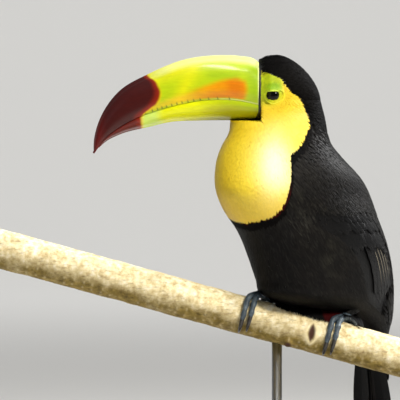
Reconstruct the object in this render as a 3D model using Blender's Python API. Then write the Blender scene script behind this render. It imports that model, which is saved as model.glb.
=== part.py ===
"""Keel-billed toucan at life size, perched on a cut length of branch on a display stand.

Numbers are in millimetres, and the meshes are made in metres. The origin is the centre of the
stand's underside, +Z is up, the bill points along -X, and the bird's left side faces -Y and +X.
"""

import math

import bmesh
import bpy
import numpy as np
from mathutils import Matrix, Vector

MM = 0.001
GAP = 0.3                    # left between pieces that touch

# Stand: a turned foot with one rod up into the perch.
BASE_RADIUS = 110.0
BASE_HEIGHT = 18.0
BASE_ROUNDING = 4.0
ROD_RADIUS = 4.0
ROD_SEAT = 10.0              # depth of the rod's holes in the foot and in the perch

# Perch: a nearly straight branch, falling towards +X.
PERCH_RADIUS = 15.5
PERCH_HEIGHT = 179.5         # its axis over the stand's centre
PERCH_SLOPE = math.radians(15.2)
PERCH_ENDS = (-233.0, 116.0)  # along its own axis from the point over the stand
PERCH_SIDES = 18

# Body: level rings, as (height, value) along the bird.
CROWN_TOP = 389.0
CROWN_BASE = 354.0
HEAD_Y = -14.7               # the head's middle plane
BODY_TURN = math.radians(42)  # how far the body faces away from the bill, towards -Y
TURN_HEIGHTS = (340.0, 276.0)  # the neck twists between these
FRONT_LINE = (
    (354, -33.6), (338, -37.8), (331, -37.2), (326, -38.9), (320, -42.4), (312, -45.9), (300, -48.4),
    (284, -48.0), (268, -41.7),
    (253, -31.6), (230, -22.0), (214, -16.6), (203, -12.5), (196, 0.0), (189, 22.0), (175, 51.0), (167, 60.0),
)
BACK_LINE = (
    (354, 33.5), (338, 37.5), (326, 39.8), (319, 42.5), (311, 49.0), (292, 66.3), (264, 79.0),
    (239, 88.1), (214, 92.8), (198, 93.5), (182, 92.0), (167, 89.0),
)
HALF_WIDTH = (
    (354, 23.5), (338, 26.5), (327, 31.0), (315, 37.0), (300, 42.5), (284, 46.0), (260, 48.0),
    (237, 47.0), (214, 42.0), (200, 38.0), (189, 32.0), (178, 25.0), (167, 19.0),
)
BODY_COLUMNS = 32
CHIN_CUT = 336.5             # head from neck
NECK_CUT = 300.0             # neck from trunk
TAIL_CUT = 167.0             # trunk from tail

# Folded wings: edges as (height, angle from the breast), thickness over the recess in the trunk.
WING_FRONT_EDGE = ((290, 86), (281, 70), (265, 62), (245, 66), (228, 72), (205, 77), (185, 80), (170, 92))
WING_REAR_EDGE = ((290, 94), (281, 112), (265, 126), (245, 136), (228, 141), (205, 141), (185, 128), (170, 98))
WING_THICKNESS = 5.0
WING_EDGE = 1.0
WING_ROWS = 13
WING_COLUMNS = 7
WING_GAP = 0.9               # wing over trunk, clear of both meshes' facets

# Tail: (height, half width, half thickness), centre line from the vent to the tip.
TAIL_RINGS = (
    (167, 19, 9.4), (157, 21.5, 7.6), (143, 25, 5.2), (125, 27, 3.4), (105, 28, 2.3), (85, 28, 1.8),
    (66, 26, 1.4), (56, 21, 1.1), (51, 13, 0.8),
)
TAIL_TIP = (84.0, 60.5)      # x and y of the tip

# Bill: side outlines from the base to the tip, as (x, z).
BILL_BASE = -14.0            # the plane where it leaves the head
CULMEN = (
    (-14, 382.5), (-19, 385.8), (-28, 387.4), (-48, 388.0), (-72, 384.8), (-99, 374.1), (-122.5, 360.4),
    (-136.0, 342.0), (-142.0, 322.0),
)
TOMIUM = ((-14, 349.4), (-32, 353.0), (-56, 353.0), (-87, 346.8), (-118, 334.9), (-133, 324.0))
GONYS = ((-14, 338.3), (-60, 338.3), (-84, 337.0), (-99, 333.5), (-122.5, 327.4), (-134, 321.4))
UPPER_TIP = (-142.2, 312.0)
LOWER_TIP = (-138.8, 317.0)
BILL_HALF_WIDTH = ((0.0, 18.0), (0.12, 17.6), (0.35, 15.8), (0.6, 12.4), (0.8, 8.6), (0.93, 5.0), (1.0, 1.6))
UPPER_PROFILE = ((0.0, 0.90), (0.18, 1.0), (0.45, 0.97), (0.7, 0.80), (0.88, 0.50), (1.0, 0.13))
LOWER_PROFILE = ((0.0, 0.90), (0.3, 0.88), (0.6, 0.76), (0.85, 0.48), (1.0, 0.12))

# Eyes: balls sunk in the sides of the head.
EYE_RADIUS = 6.4
EYE_X = -3.0
EYE_Z = 356.9
EYE_OUT = 1.3                # how far the ball stands out of the cheek

# Feet: two toes over each side of the perch. Positions run along the perch's axis.
FOOT_PLACES = {"right": -17.8, "left": 50.0}
TOE_RADIUS = (2.7, 2.0)      # at its root and its end
TOES = {                     # side of the perch, shift along it, degrees wrapped
    "outer_front": (1, -9.5, 104),
    "inner_front": (1, -4.0, 92),
    "outer_rear": (-1, 3.5, 96),
    "inner_rear": (-1, 9.0, 78),
}
CLAW_WRAP = 46               # degrees round the perch
CLAW_RADIUS = (1.9, 0.45)
HUB_RADII = (5.0, 4.6, 3.4)  # where the toes meet
HUB_LIFT = 4.0               # its centre over the bark
FOOT_ROOM = 8.0              # kept free of the belly over the bark
TARSUS_RADIUS = (2.9, 3.4)
TARSUS_LENGTH = 30.0
TARSUS_RISE = math.radians(42)


def clear_scene():
    for item in list(bpy.data.objects):
        bpy.data.objects.remove(item)


def material(name, colour, roughness, metallic=0.0):
    made = bpy.data.materials.new(name)
    made.use_nodes = True
    shader = made.node_tree.nodes["Principled BSDF"]
    shader.inputs["Base Color"].default_value = (*colour, 1.0)
    shader.inputs["Roughness"].default_value = roughness
    shader.inputs["Metallic"].default_value = metallic
    made.diffuse_color = (*colour, 1.0)
    return made


def new_object(name, mesh, finish, smooth_angle=40):
    made = bpy.data.objects.new(name, mesh)
    bpy.context.scene.collection.objects.link(made)
    mesh.shade_smooth()
    mesh.set_sharp_from_angle(angle=math.radians(smooth_angle))
    if finish:
        mesh.materials.append(finish)
    return made


def loft(name, rings, finish=None, first_cap="flat", last_cap="flat"):
    """Closed solid through rings of points (rows x columns x 3, in mm), with an n-gon or a point at each end."""
    mesh = bpy.data.meshes.new(name)
    shape = bmesh.new()
    loops = [[shape.verts.new(Vector(point) * MM) for point in ring] for ring in rings]
    count = len(loops[0])
    for lower, upper in zip(loops, loops[1:]):
        for k in range(count):
            n = (k + 1) % count
            shape.faces.new((lower[k], lower[n], upper[n], upper[k]))
    for loop, ring, cap in ((loops[0], rings[0], first_cap), (loops[-1], rings[-1], last_cap)):
        if cap == "flat":
            shape.faces.new(loop)
            continue
        pole = shape.verts.new(Vector(cap) * MM)
        for k in range(count):
            shape.faces.new((loop[k], loop[(k + 1) % count], pole))
    bmesh.ops.recalc_face_normals(shape, faces=shape.faces)
    shape.to_mesh(mesh)
    shape.free()
    return new_object(name, mesh, finish)


def guide(made):
    made.hide_render = True
    made.display_type = "WIRE"
    return made


def boolean(target, tool, operation):
    step = target.modifiers.new(f"{operation.lower()} {tool.name}", "BOOLEAN")
    step.object = tool
    step.operation = operation
    step.solver = "EXACT"


def curve(table, at):
    """Smooth value at each of `at`: cubic pieces through a table of (place, value), in order either way."""
    rows = np.array(table, dtype=float)
    rows = rows[np.argsort(rows[:, 0])]
    place, value = rows[:, 0], rows[:, 1]
    slope = np.gradient(value, place)
    at = np.clip(np.asarray(at, dtype=float), place[0], place[-1])
    k = np.clip(np.searchsorted(place, at) - 1, 0, len(place) - 2)
    span = place[k + 1] - place[k]
    t = (at - place[k]) / span
    blend = t * t * (3 - 2 * t)
    return (
        value[k] * (1 - blend) + value[k + 1] * blend
        + span * (slope[k] * t * (1 - t) ** 2 - slope[k + 1] * t * t * (1 - t))
    )


def outline(points, count):
    """`count` points spaced evenly along a smooth line through (x, z) points."""
    points = np.array(points, dtype=float)
    steps = np.concatenate(([0], np.cumsum(np.hypot(*np.diff(points, axis=0).T))))
    fine = np.linspace(0, steps[-1], 400)
    x = curve(list(zip(steps, points[:, 0])), fine)
    z = curve(list(zip(steps, points[:, 1])), fine)
    walked = np.concatenate(([0], np.cumsum(np.hypot(np.diff(x), np.diff(z)))))
    even = np.linspace(0, walked[-1], count)
    return np.stack((np.interp(even, walked, x), np.interp(even, walked, z)), axis=1)


def smooth_step(start, end, at):
    t = np.clip((at - start) / (end - start), 0, 1)
    return t * t * (3 - 2 * t)


def ring_sizes(z):
    """Centre, turn, half width, and reach to the front and the back of the body's level ring at z."""
    crown = np.clip((z - CROWN_BASE) / (CROWN_TOP - CROWN_BASE), 0, 1)
    front = curve(FRONT_LINE, z) * (1 - crown ** 2.2) ** (1 / 2.2)
    back = curve(BACK_LINE, z) * (1 - crown ** 1.6) ** (1 / 1.6)
    half = curve(HALF_WIDTH, z) * (1 - crown ** 2.0) ** 0.5
    turn = BODY_TURN * (1 - smooth_step(TURN_HEIGHTS[1], TURN_HEIGHTS[0], z))
    middle = np.where(z > CROWN_BASE, 0.0, (front + back) / 2)
    centre_y = HEAD_Y + np.tan(turn) * middle
    aside = half * np.sin(turn)
    to_front = np.sqrt(np.maximum((middle - front) ** 2 - aside ** 2, 0.01)) / np.cos(turn)
    to_back = np.sqrt(np.maximum((back - middle) ** 2 - aside ** 2, 0.01)) / np.cos(turn)
    return middle, centre_y, turn, half, to_front, to_back


def body_point(angle, z):
    """Body surface at an angle from the breast towards the bird's left, and a height."""
    angle, z = np.broadcast_arrays(np.asarray(angle, dtype=float), np.asarray(z, dtype=float))
    middle, centre_y, turn, half, to_front, to_back = ring_sizes(z)
    ahead = np.where(np.cos(angle) > 0, to_front, to_back) * np.cos(angle)
    left = half * np.sin(angle)
    x = middle - ahead * np.cos(turn) + left * np.sin(turn)
    y = centre_y - ahead * np.sin(turn) - left * np.cos(turn)
    return np.stack((x, y, z), axis=-1)


def body_normal(angle, z):
    """Outward unit normal: the cross product of the surface's steps along the ring and down the body."""
    step = 0.5
    z = np.minimum(z, CROWN_TOP - 2 * step)
    around = body_point(angle + 0.02, z) - body_point(angle - 0.02, z)
    down = body_point(angle, z - step) - body_point(angle, z + step)
    normal = np.cross(down, around)
    return normal / np.linalg.norm(normal, axis=-1, keepdims=True)


def wing_share(angle, z):
    """Across the wing: 0 at its front edge, 1 at its rear edge."""
    front = np.radians(curve(WING_FRONT_EDGE, z))
    rear = np.radians(curve(WING_REAR_EDGE, z))
    return (np.abs(angle) - front) / (rear - front)


def wing_depth(angle, z):
    """Wing thickness: thin at the edges, thick in the middle of the arm."""
    share = np.clip(wing_share(angle, z), 0, 1)
    top, tip = WING_FRONT_EDGE[0][0], WING_FRONT_EDGE[-1][0]
    along = np.clip((top - z) / (top - tip), 0, 1)
    swell = np.sqrt(4 * share * (1 - share)) * np.sqrt(np.sin(np.pi * along ** 0.7))
    return WING_EDGE + (WING_THICKNESS - WING_EDGE) * swell


def recess_depth(angle, z):
    """How far the trunk lies under the body surface: under the wing and a margin round it."""
    front = np.degrees(np.abs(angle)) - curve(WING_FRONT_EDGE, z)
    rear = curve(WING_REAR_EDGE, z) - np.degrees(np.abs(angle))
    inside = np.minimum(front, rear)
    top = WING_FRONT_EDGE[0][0]
    near = smooth_step(-24, -12, inside) * smooth_step(top + 10, top + 7, z)
    return near * (wing_depth(angle, z) + WING_GAP)


def body_rings(heights, recessed=False):
    angle, z = np.meshgrid(np.linspace(0, 2 * np.pi, BODY_COLUMNS, endpoint=False), heights)
    points = body_point(angle, z)
    if recessed:
        folded = (angle + np.pi) % (2 * np.pi) - np.pi
        points = points - body_normal(angle, z) * recess_depth(folded, z)[..., None]
    return points


def perch_point(along, degrees, radius):
    """Point by its place along the perch, its angle from the top towards -Y, and its radius."""
    axis = np.array((math.cos(PERCH_SLOPE), 0, -math.sin(PERCH_SLOPE)))
    up = np.array((math.sin(PERCH_SLOPE), 0, math.cos(PERCH_SLOPE)))
    near = np.array((0, -1, 0))
    bend = np.radians(degrees)
    return np.array((0, 0, PERCH_HEIGHT)) + along * axis + radius * (math.cos(bend) * up + math.sin(bend) * near)


def tube_rings(path, radii, sides):
    """Round rings square to a path, each turned as little as possible from the one before."""
    path = np.asarray(path, dtype=float)
    heading = np.gradient(path, axis=0)
    heading /= np.linalg.norm(heading, axis=1, keepdims=True)
    side = np.cross(heading[0], (0.3, 1.0, 0.2))
    rings = []
    for point, ahead, radius in zip(path, heading, radii):
        side = side - ahead * np.dot(side, ahead)
        side /= np.linalg.norm(side)
        other = np.cross(ahead, side)
        turn = np.linspace(0, 2 * np.pi, sides, endpoint=False)[:, None]
        rings.append(point + radius * (np.cos(turn) * side + np.sin(turn) * other))
    return rings


def ball(name, centre, radii, finish=None, segments=12, rows=8):
    mesh = bpy.data.meshes.new(name)
    shape = bmesh.new()
    bmesh.ops.create_uvsphere(shape, u_segments=segments, v_segments=rows, radius=1.0)
    place = Matrix.Translation(Vector(centre) * MM) @ Matrix.Diagonal((*(Vector(radii) * MM), 1.0))
    bmesh.ops.transform(shape, matrix=place, verts=shape.verts)
    shape.to_mesh(mesh)
    shape.free()
    return new_object(name, mesh, finish)


def turned(name, profile, sides, finish=None):
    """Solid of revolution about Z from an (r, z) profile that starts and ends on the axis."""
    turn = np.linspace(0, 2 * np.pi, sides, endpoint=False)
    rings = [[(r * math.cos(a), r * math.sin(a), z) for a in turn] for r, z in profile[1:-1]]
    first = (0, 0, profile[0][1])
    last = (0, 0, profile[-1][1])
    return loft(name, rings, finish, first_cap=first, last_cap=last)


def make_stand():
    steel = material("brushed steel", (0.55, 0.56, 0.57), 0.35, 1.0)
    ebony = material("dark stained wood", (0.045, 0.03, 0.022), 0.45)
    quarter = np.linspace(0, math.pi / 2, 4)
    top_edge = [
        (BASE_RADIUS - BASE_ROUNDING * (1 - math.cos(a)), BASE_HEIGHT - BASE_ROUNDING * (1 - math.sin(a)))
        for a in quarter
    ]
    hole = ROD_RADIUS + GAP
    floor = BASE_HEIGHT - ROD_SEAT
    profile = [(0, 0), (BASE_RADIUS - 1, 0), (BASE_RADIUS, 1), *top_edge, (hole, BASE_HEIGHT), (hole, floor), (0, floor)]
    turned("stand_base", profile, 44, ebony)
    low = floor + GAP
    high = PERCH_HEIGHT - PERCH_RADIUS + ROD_SEAT - 2.0
    turned("stand_rod", [(0, low), (ROD_RADIUS, low), (ROD_RADIUS, high), (0, high)], 18, steel)


def make_perch():
    bark = material("pale bark", (0.48, 0.38, 0.22), 0.85)
    rings = []
    for along in np.linspace(*PERCH_ENDS, 15):
        swell = 0.45 * math.sin(along / 31.0) + 0.35 * math.sin(along / 17.0 + 1.0)
        rings.append([
            perch_point(along, degrees, PERCH_RADIUS - 0.8 + swell * math.cos(math.radians(degrees - 60)))
            for degrees in np.linspace(0, 360, PERCH_SIDES, endpoint=False)
        ])
    perch = loft("perch", rings, bark)
    hole = ROD_RADIUS + GAP
    low = PERCH_HEIGHT - PERCH_RADIUS - 12
    high = PERCH_HEIGHT - PERCH_RADIUS + ROD_SEAT - 2.0 + GAP
    drill = turned("rod hole", [(0, low), (hole, low), (hole, high), (0, high)], 18)
    boolean(perch, guide(drill), "DIFFERENCE")


def foot_path(place, side, shift, wrap, radii, steps=8):
    """A toe's or claw's centre line: from the hub along the perch, then round it."""
    path = []
    for share in np.linspace(0, 1, steps):
        radius = radii[0] + (radii[1] - radii[0]) * share
        lifted = 1.6 * (1 - share) ** 3
        moved = shift * math.sin(0.5 * math.pi * min(1, share / 0.45))
        path.append(perch_point(place + moved, side * wrap * share, PERCH_RADIUS + radius + 0.5 + lifted))
    return path


def make_foot(name, place, horn, scaly):
    hub = perch_point(place, 0, PERCH_RADIUS + HUB_LIFT)
    foot = ball(f"foot_{name}", hub, HUB_RADII, scaly)
    for toe, (side, shift, wrap) in TOES.items():
        path = foot_path(place, side, shift, wrap, TOE_RADIUS)
        radii = np.linspace(*TOE_RADIUS, len(path))
        radii[-1] *= 0.8
        tube = loft(f"{toe} {name}", tube_rings(path, radii, 8))
        boolean(foot, guide(tube), "UNION")
        bends = np.linspace(wrap + 1.2, wrap + CLAW_WRAP, 6)
        claw_radii = CLAW_RADIUS[0] * (1 - ((bends - bends[0]) / (bends[-1] - bends[0])) ** 1.4)
        claw_radii = np.maximum(claw_radii, CLAW_RADIUS[1])
        claw_path = [
            perch_point(place + shift, side * bend, PERCH_RADIUS + radius + 0.4)
            for bend, radius in zip(bends, claw_radii)
        ]
        loft(f"claw_{toe}_{name}", tube_rings(claw_path, claw_radii, 6), horn)
    return hub


def leg_rings(hub, extra):
    """Tarsus from just over the hub, back and up into the belly; `extra` swells and lengthens it."""
    level = np.array((math.cos(BODY_TURN), math.sin(BODY_TURN), 0)) * math.cos(TARSUS_RISE)
    heading = level + np.array((0, 0, math.sin(TARSUS_RISE)))
    start = hub + heading * (HUB_RADII[0] + 0.9)
    path = [start + heading * step for step in np.linspace(-extra, TARSUS_LENGTH + extra, 3)]
    return tube_rings(path, np.linspace(*TARSUS_RADIUS, 3) + extra, 12)


def make_legs(trunk):
    horn = material("claw horn", (0.05, 0.05, 0.06), 0.4)
    scaly = material("blue grey toe skin", (0.22, 0.30, 0.38), 0.6)
    for name, place in FOOT_PLACES.items():
        hub = make_foot(name, place, horn, scaly)
        loft(f"leg_{name}", leg_rings(hub, 0), scaly)
        socket = loft(f"socket {name}", leg_rings(hub, GAP + 0.1))
        boolean(trunk, guide(socket), "DIFFERENCE")


def make_body():
    yellow = material("yellow throat", (0.95, 0.70, 0.03), 0.8)
    black = material("black plumage", (0.012, 0.012, 0.014), 0.7)
    crown = CROWN_BASE + (CROWN_TOP - CROWN_BASE) * np.sin(np.radians((12, 24, 36, 48, 60, 71, 81)))
    head_rows = (CHIN_CUT, 342, 348, CROWN_BASE, *crown)
    head = loft("head", body_rings(head_rows), yellow, last_cap=(0, HEAD_Y, CROWN_TOP))
    trunk_rows = (*np.linspace(NECK_CUT - GAP, 212, 12), *np.linspace(206, TAIL_CUT, 9))
    loft("neck", body_rings(np.linspace(NECK_CUT, CHIN_CUT - GAP, 7)), yellow)
    trunk = loft("trunk", body_rings(trunk_rows, recessed=True), black)
    seat_rings = []
    for along in np.linspace(-60, 140, 34):
        over_feet = sum(math.exp(-((along - place) / 16.0) ** 4) for place in FOOT_PLACES.values())
        radius = PERCH_RADIUS + 0.6 + FOOT_ROOM * min(over_feet, 1)
        around = np.linspace(0, 360, 32, endpoint=False)
        seat_rings.append([perch_point(along, degrees, radius) for degrees in around])
    seat = loft("belly seat", seat_rings)
    boolean(trunk, guide(seat), "DIFFERENCE")
    return head, trunk


def make_wings():
    black = material("black wing feathers", (0.016, 0.015, 0.015), 0.6)
    top, tip = WING_FRONT_EDGE[0][0], WING_FRONT_EDGE[-1][0]
    heights = top + (tip - top) * (0.5 - 0.5 * np.cos(np.linspace(0, np.pi, WING_ROWS)))
    share, z = np.meshgrid(0.5 - 0.5 * np.cos(np.linspace(0, np.pi, WING_COLUMNS + 1)), heights)
    front = np.radians(curve(WING_FRONT_EDGE, z))
    rear = np.radians(curve(WING_REAR_EDGE, z))
    for name, side in (("wing_left", 1), ("wing_right", -1)):
        angle = side * (front + (rear - front) * share)
        outer = body_point(angle, z)
        inner = outer - body_normal(angle, z) * wing_depth(angle, z)[..., None]
        loft(name, np.concatenate((outer, inner[:, ::-1]), axis=1), black)


def make_tail():
    black = material("black tail feathers", (0.014, 0.014, 0.015), 0.6)
    rows = np.array(TAIL_RINGS, dtype=float)
    rows[0, 0] -= GAP
    heights = np.concatenate((np.linspace(rows[0, 0], 62, 10), (56.5, 53, 51)))
    root = body_point(np.array((0.0, np.pi)), TAIL_CUT).mean(axis=0)
    rings = []
    for z in heights:
        half = curve(rows[:, :2], z)
        thick = curve(rows[:, ::2], z)
        fall = (TAIL_CUT - z) / (TAIL_CUT - rows[-1, 0])
        centre = root[:2] + (np.array(TAIL_TIP) - root[:2]) * fall
        turn = np.linspace(0, 2 * np.pi, 16, endpoint=False)
        ahead, left = thick * np.cos(turn), half * np.sin(turn)
        rings.append(np.stack((
            centre[0] - ahead * math.cos(BODY_TURN) + left * math.sin(BODY_TURN),
            centre[1] - ahead * math.sin(BODY_TURN) - left * math.cos(BODY_TURN),
            np.full(16, z),
        ), axis=1))
    loft("tail", rings, black)


def make_mandible(name, ridge, tip, profile, rows, finish):
    """Half a bill: rings from the biting edge to the ridge and back on the other side, base to tip."""
    low = outline((*TOMIUM, tip), rows)
    high = outline((*ridge, tip), rows)
    across = np.linspace(0, 1, 7)
    rings = []
    for k in range(rows - 1):
        wide = curve(BILL_HALF_WIDTH, k / (rows - 1)) * curve(profile, across)
        reach = high[k] - low[k]
        start = low[k] + GAP / 2 * reach / np.linalg.norm(reach)
        line = start + across[:, None] * (high[k] - start)
        near = np.stack((line[:, 0], HEAD_Y - wide, line[:, 1]), axis=1)
        far = np.stack((line[:, 0], HEAD_Y + wide, line[:, 1]), axis=1)
        rings.append(np.concatenate((near, far[::-1])))
    rings[0][:, 0] = BILL_BASE - GAP
    loft(name, rings, finish, last_cap=(tip[0], HEAD_Y, tip[1]))


def make_bill():
    green = material("green horn", (0.50, 0.68, 0.03), 0.3)
    olive = material("olive horn", (0.45, 0.50, 0.04), 0.3)
    make_mandible("bill_upper", CULMEN, UPPER_TIP, UPPER_PROFILE, 23, green)
    make_mandible("bill_lower", GONYS, LOWER_TIP, LOWER_PROFILE, 19, olive)


def make_eyes(head):
    dark = material("dark eye", (0.01, 0.012, 0.01), 0.08)
    face = guide(loft("bill face", [
        [(x, y, z) for x, y in ((-80, -60), (BILL_BASE, -60), (BILL_BASE, 40), (-80, 40))] for z in (330, 400)
    ]))
    boolean(head, face, "DIFFERENCE")
    cheek = ring_sizes(np.array(EYE_Z))
    half = float(cheek[3] * math.sqrt(1 - (EYE_X / float(cheek[4])) ** 2))
    for name, side in (("left", -1), ("right", 1)):
        centre = (EYE_X, HEAD_Y + side * (half + EYE_OUT - EYE_RADIUS), EYE_Z)
        ball(f"eye_{name}", centre, [EYE_RADIUS] * 3, dark, 16, 10)
        socket = ball(f"eye socket {name}", centre, [EYE_RADIUS + GAP + 0.1] * 3, None, 16, 10)
        boolean(head, guide(socket), "DIFFERENCE")


clear_scene()
make_stand()
make_perch()
head, trunk = make_body()
make_wings()
make_tail()
make_bill()
make_eyes(head)
make_legs(trunk)
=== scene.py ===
import math

import bpy
import numpy as np
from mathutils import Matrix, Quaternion, Vector


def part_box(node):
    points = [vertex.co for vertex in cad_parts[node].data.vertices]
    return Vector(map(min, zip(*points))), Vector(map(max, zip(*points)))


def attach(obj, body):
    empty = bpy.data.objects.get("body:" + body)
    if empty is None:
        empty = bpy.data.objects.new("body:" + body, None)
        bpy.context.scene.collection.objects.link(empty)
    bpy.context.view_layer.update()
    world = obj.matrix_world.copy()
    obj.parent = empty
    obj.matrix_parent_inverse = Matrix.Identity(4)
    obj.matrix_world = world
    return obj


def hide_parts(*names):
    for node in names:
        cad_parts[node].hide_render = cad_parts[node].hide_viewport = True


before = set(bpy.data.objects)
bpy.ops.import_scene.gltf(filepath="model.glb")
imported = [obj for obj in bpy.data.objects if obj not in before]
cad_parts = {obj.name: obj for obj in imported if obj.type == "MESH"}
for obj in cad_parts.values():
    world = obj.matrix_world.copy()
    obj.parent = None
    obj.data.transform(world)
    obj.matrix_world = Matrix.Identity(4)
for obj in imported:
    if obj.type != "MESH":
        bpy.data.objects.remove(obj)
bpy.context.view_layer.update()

# ---------------------------------------------------------------------------------------------
# Studio: a floor painted pale matt grey that curves up into a round wall with a lamp of its own. The
# key lamp stands high on the right in front, weaker ones fill in from the left and from behind, and a
# narrow strip high in front draws the bill's gloss. The camera is level with the bird and far off.

MM = 0.001                          # lengths are in mm, except the lamps' and the camera's places


def linear(code):
    """Linear RGBA of an sRGB hex: a channel over 12.92 near black, else ((channel + 0.055) / 1.055) ^ 2.4."""
    srgb = np.array([int(code[k:k + 2], 16) for k in (1, 3, 5)]) / 255
    rgb = np.where(srgb <= 0.04045, srgb / 12.92, ((srgb + 0.055) / 1.055) ** 2.4)
    return (*rgb.tolist(), 1.0)


class Finish:
    """A material in the making. Each method adds one node and returns its link, as (node, output)."""

    def __init__(self, name):
        self.material = bpy.data.materials.new(name)
        self.material.use_nodes = True
        self.tree = self.material.node_tree
        self.tree.nodes.clear()
        self.end = self.tree.nodes.new("ShaderNodeOutputMaterial")
        self.coords = None

    def add(self, kind, settings=None, **feeds):
        """Any node. A feed is a socket's value or a link; _3 feeds the fourth socket."""
        made = self.tree.nodes.new("ShaderNode" + kind)
        for name, value in (settings or {}).items():
            setattr(made, name, value)
        for name, value in feeds.items():
            socket = made.inputs[int(name[1:]) if name[0] == "_" else name.replace("_", " ")]
            if isinstance(value, tuple) and isinstance(value[0], bpy.types.Node):
                self.tree.links.new(value[0].outputs[value[1]], socket)
            else:
                socket.default_value = value
        return made, 0

    def spot(self):
        """The object's own coordinates."""
        self.coords = self.coords or (self.add("TexCoord")[0], "Object")
        return self.coords

    def mapped(self, scale, turn=(0, 0, 0)):
        """The object's coordinates, turned and stretched."""
        return self.add("Mapping", Vector=self.spot(), Rotation=turn, Scale=scale)

    def noise(self, size, detail=2.0, roughness=0.5, at=None):
        """Clouds of that size in mm."""
        return self.add(
            "TexNoise", Vector=at or self.spot(), Scale=1 / (size * MM), Detail=detail, Roughness=roughness)

    def cells(self, size, feature="F1"):
        """Distances in a pattern of cells of that size in mm."""
        return self.add("TexVoronoi", {"feature": feature}, Vector=self.spot(), Scale=1 / (size * MM))

    def attribute(self, name, kind):
        """A mesh attribute, read as Color, Vector or Fac."""
        return self.add("Attribute", {"attribute_name": name})[0], kind

    def math_of(self, operation, *values, clamp=False):
        """Plain arithmetic."""
        feeds = {f"_{k}": value for k, value in enumerate(values)}
        return self.add("Math", {"operation": operation, "use_clamp": clamp}, **feeds)

    def span(self, value, to_low, to_high=1.0, low=0.0, high=1.0):
        """A value from low..high moved to to_low..to_high."""
        return self.add("MapRange", Value=value, From_Min=low, From_Max=high, To_Min=to_low, To_Max=to_high)

    def ramp(self, share, *stops):
        """Colour by a share, from stops of (place, sRGB hex)."""
        made = self.add("ValToRGB", _0=share)
        elements = made[0].color_ramp.elements
        while len(elements) < len(stops):
            elements.new(1.0)
        for element, (place, code) in zip(elements, stops):
            element.position = place
            element.color = linear(code)
        return made

    def mix(self, share, one, two, blend="MIX"):
        """Two colours mixed by a share."""
        return self.add("Mix", {"data_type": "RGBA", "blend_type": blend}, _0=share, _6=one, _7=two)[0], 2

    def shaded(self, colour, factor):
        """A colour made lighter or darker by a factor."""
        return self.add("VectorMath", {"operation": "SCALE"}, Vector=colour, Scale=factor)

    def bump(self, height, strength, depth, invert=False):
        """Relief that deep, in mm."""
        return self.add("Bump", {"invert": invert}, Height=height, Strength=strength, Distance=depth * MM)

    def shader(self, **feeds):
        """Ends the tree with a principled shader, and returns the finished material."""
        made = self.add("BsdfPrincipled", **feeds)[0]
        self.tree.links.new(made.outputs[0], self.end.inputs[0])
        return self.material


def full_turn(count):
    """Angles of that many places spaced evenly round a circle."""
    return np.linspace(0, 2 * np.pi, count, endpoint=False)


def faces_of(rows, columns):
    """Quads between rows of points, each row's last point joined to its first."""
    row = np.arange(rows - 1)[:, None] * columns
    column = np.arange(columns)
    after = (column + 1) % columns
    corners = (row + column, row + after, row + columns + after, row + columns + column)
    return np.stack(corners, axis=-1).reshape(-1, 4)


def closed_shell(rows, first, last):
    """Points and faces of rings of points (rows x columns x 3) closed at both ends by a pole."""
    count, columns = rows.shape[:2]
    column = np.arange(columns)
    after = (column + 1) % columns
    top = (count - 1) * columns
    poles = np.full(columns, count * columns)
    faces = [
        faces_of(count, columns),
        np.stack((after, column, poles), axis=-1),
        np.stack((top + column, top + after, poles + 1), axis=-1),
    ]
    points = np.concatenate((rows.reshape(-1, 3), [first, last]))
    corners = points[np.concatenate((faces[0][:, :3], faces[0][:, [0, 2, 3]], *faces[1:]))]
    volume = np.einsum("ij,ij->", corners[:, 0], np.cross(corners[:, 1], corners[:, 2]))
    if volume < 0:
        faces = [face[:, ::-1] for face in faces]
    return points, faces


def new_piece(name, points, faces, finishes, finish_index=None, uv=None, **attributes):
    """Smooth mesh object from points in mm and arrays of faces, with attributes and OFBake places by point."""
    mesh = bpy.data.meshes.new(name)
    sizes = np.concatenate([np.full(len(face), face.shape[1]) for face in faces])
    corners = np.concatenate([face.ravel() for face in faces]).astype(np.int32)
    mesh.vertices.add(len(points))
    mesh.vertices.foreach_set("co", (points * MM).astype(np.float32).ravel())
    mesh.loops.add(len(corners))
    mesh.loops.foreach_set("vertex_index", corners)
    mesh.polygons.add(len(sizes))
    mesh.polygons.foreach_set("loop_start", (np.cumsum(sizes) - sizes).astype(np.int32))
    if finish_index is not None:
        mesh.polygons.foreach_set("material_index", finish_index.astype(np.int32))
    for label, value in attributes.items():
        kind, key = {1: ("FLOAT", "value"), 3: ("FLOAT_VECTOR", "vector"), 4: ("FLOAT_COLOR", "color")}[
            1 if value.ndim == 1 else value.shape[1]]
        mesh.attributes.new(label, kind, "POINT").data.foreach_set(key, value.astype(np.float32).ravel())
    if uv is not None:
        mesh.uv_layers.new(name="OFBake").data.foreach_set("uv", uv[corners].astype(np.float32).ravel())
    mesh.update(calc_edges=True)
    mesh.shade_smooth()
    for finish in finishes:
        mesh.materials.append(finish)
    made = bpy.data.objects.new(name, mesh)
    bpy.context.scene.collection.objects.link(made)
    return made


def turned(profile, sides):
    """A profile of (radius, height) carried round the Z axis: its rings of points, and its two poles."""
    profile = np.array(profile, dtype=float)
    turn = full_turn(sides)
    radius, height = profile[:, :1], profile[:, 1:]
    rows = np.stack((radius * np.cos(turn), radius * np.sin(turn), height + 0 * turn), axis=-1)
    return rows, (0, 0, profile[0, 1]), (0, 0, profile[-1, 1])


FLOOR_HOLE = 500.0
FLOOR_RADIUS = 9000.0
COVE_RADIUS = 5000.0
COVE_STEPS = 24
WALL_TOP = 9000.0
STUDIO_SIDES = 96

# Matt studio paint: even and pale, so that only soft shade shows on it.
studio_paint = Finish("matt_studio_paint").shader(Base_Color=linear("#D4D3D0"), Roughness=0.9)

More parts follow.
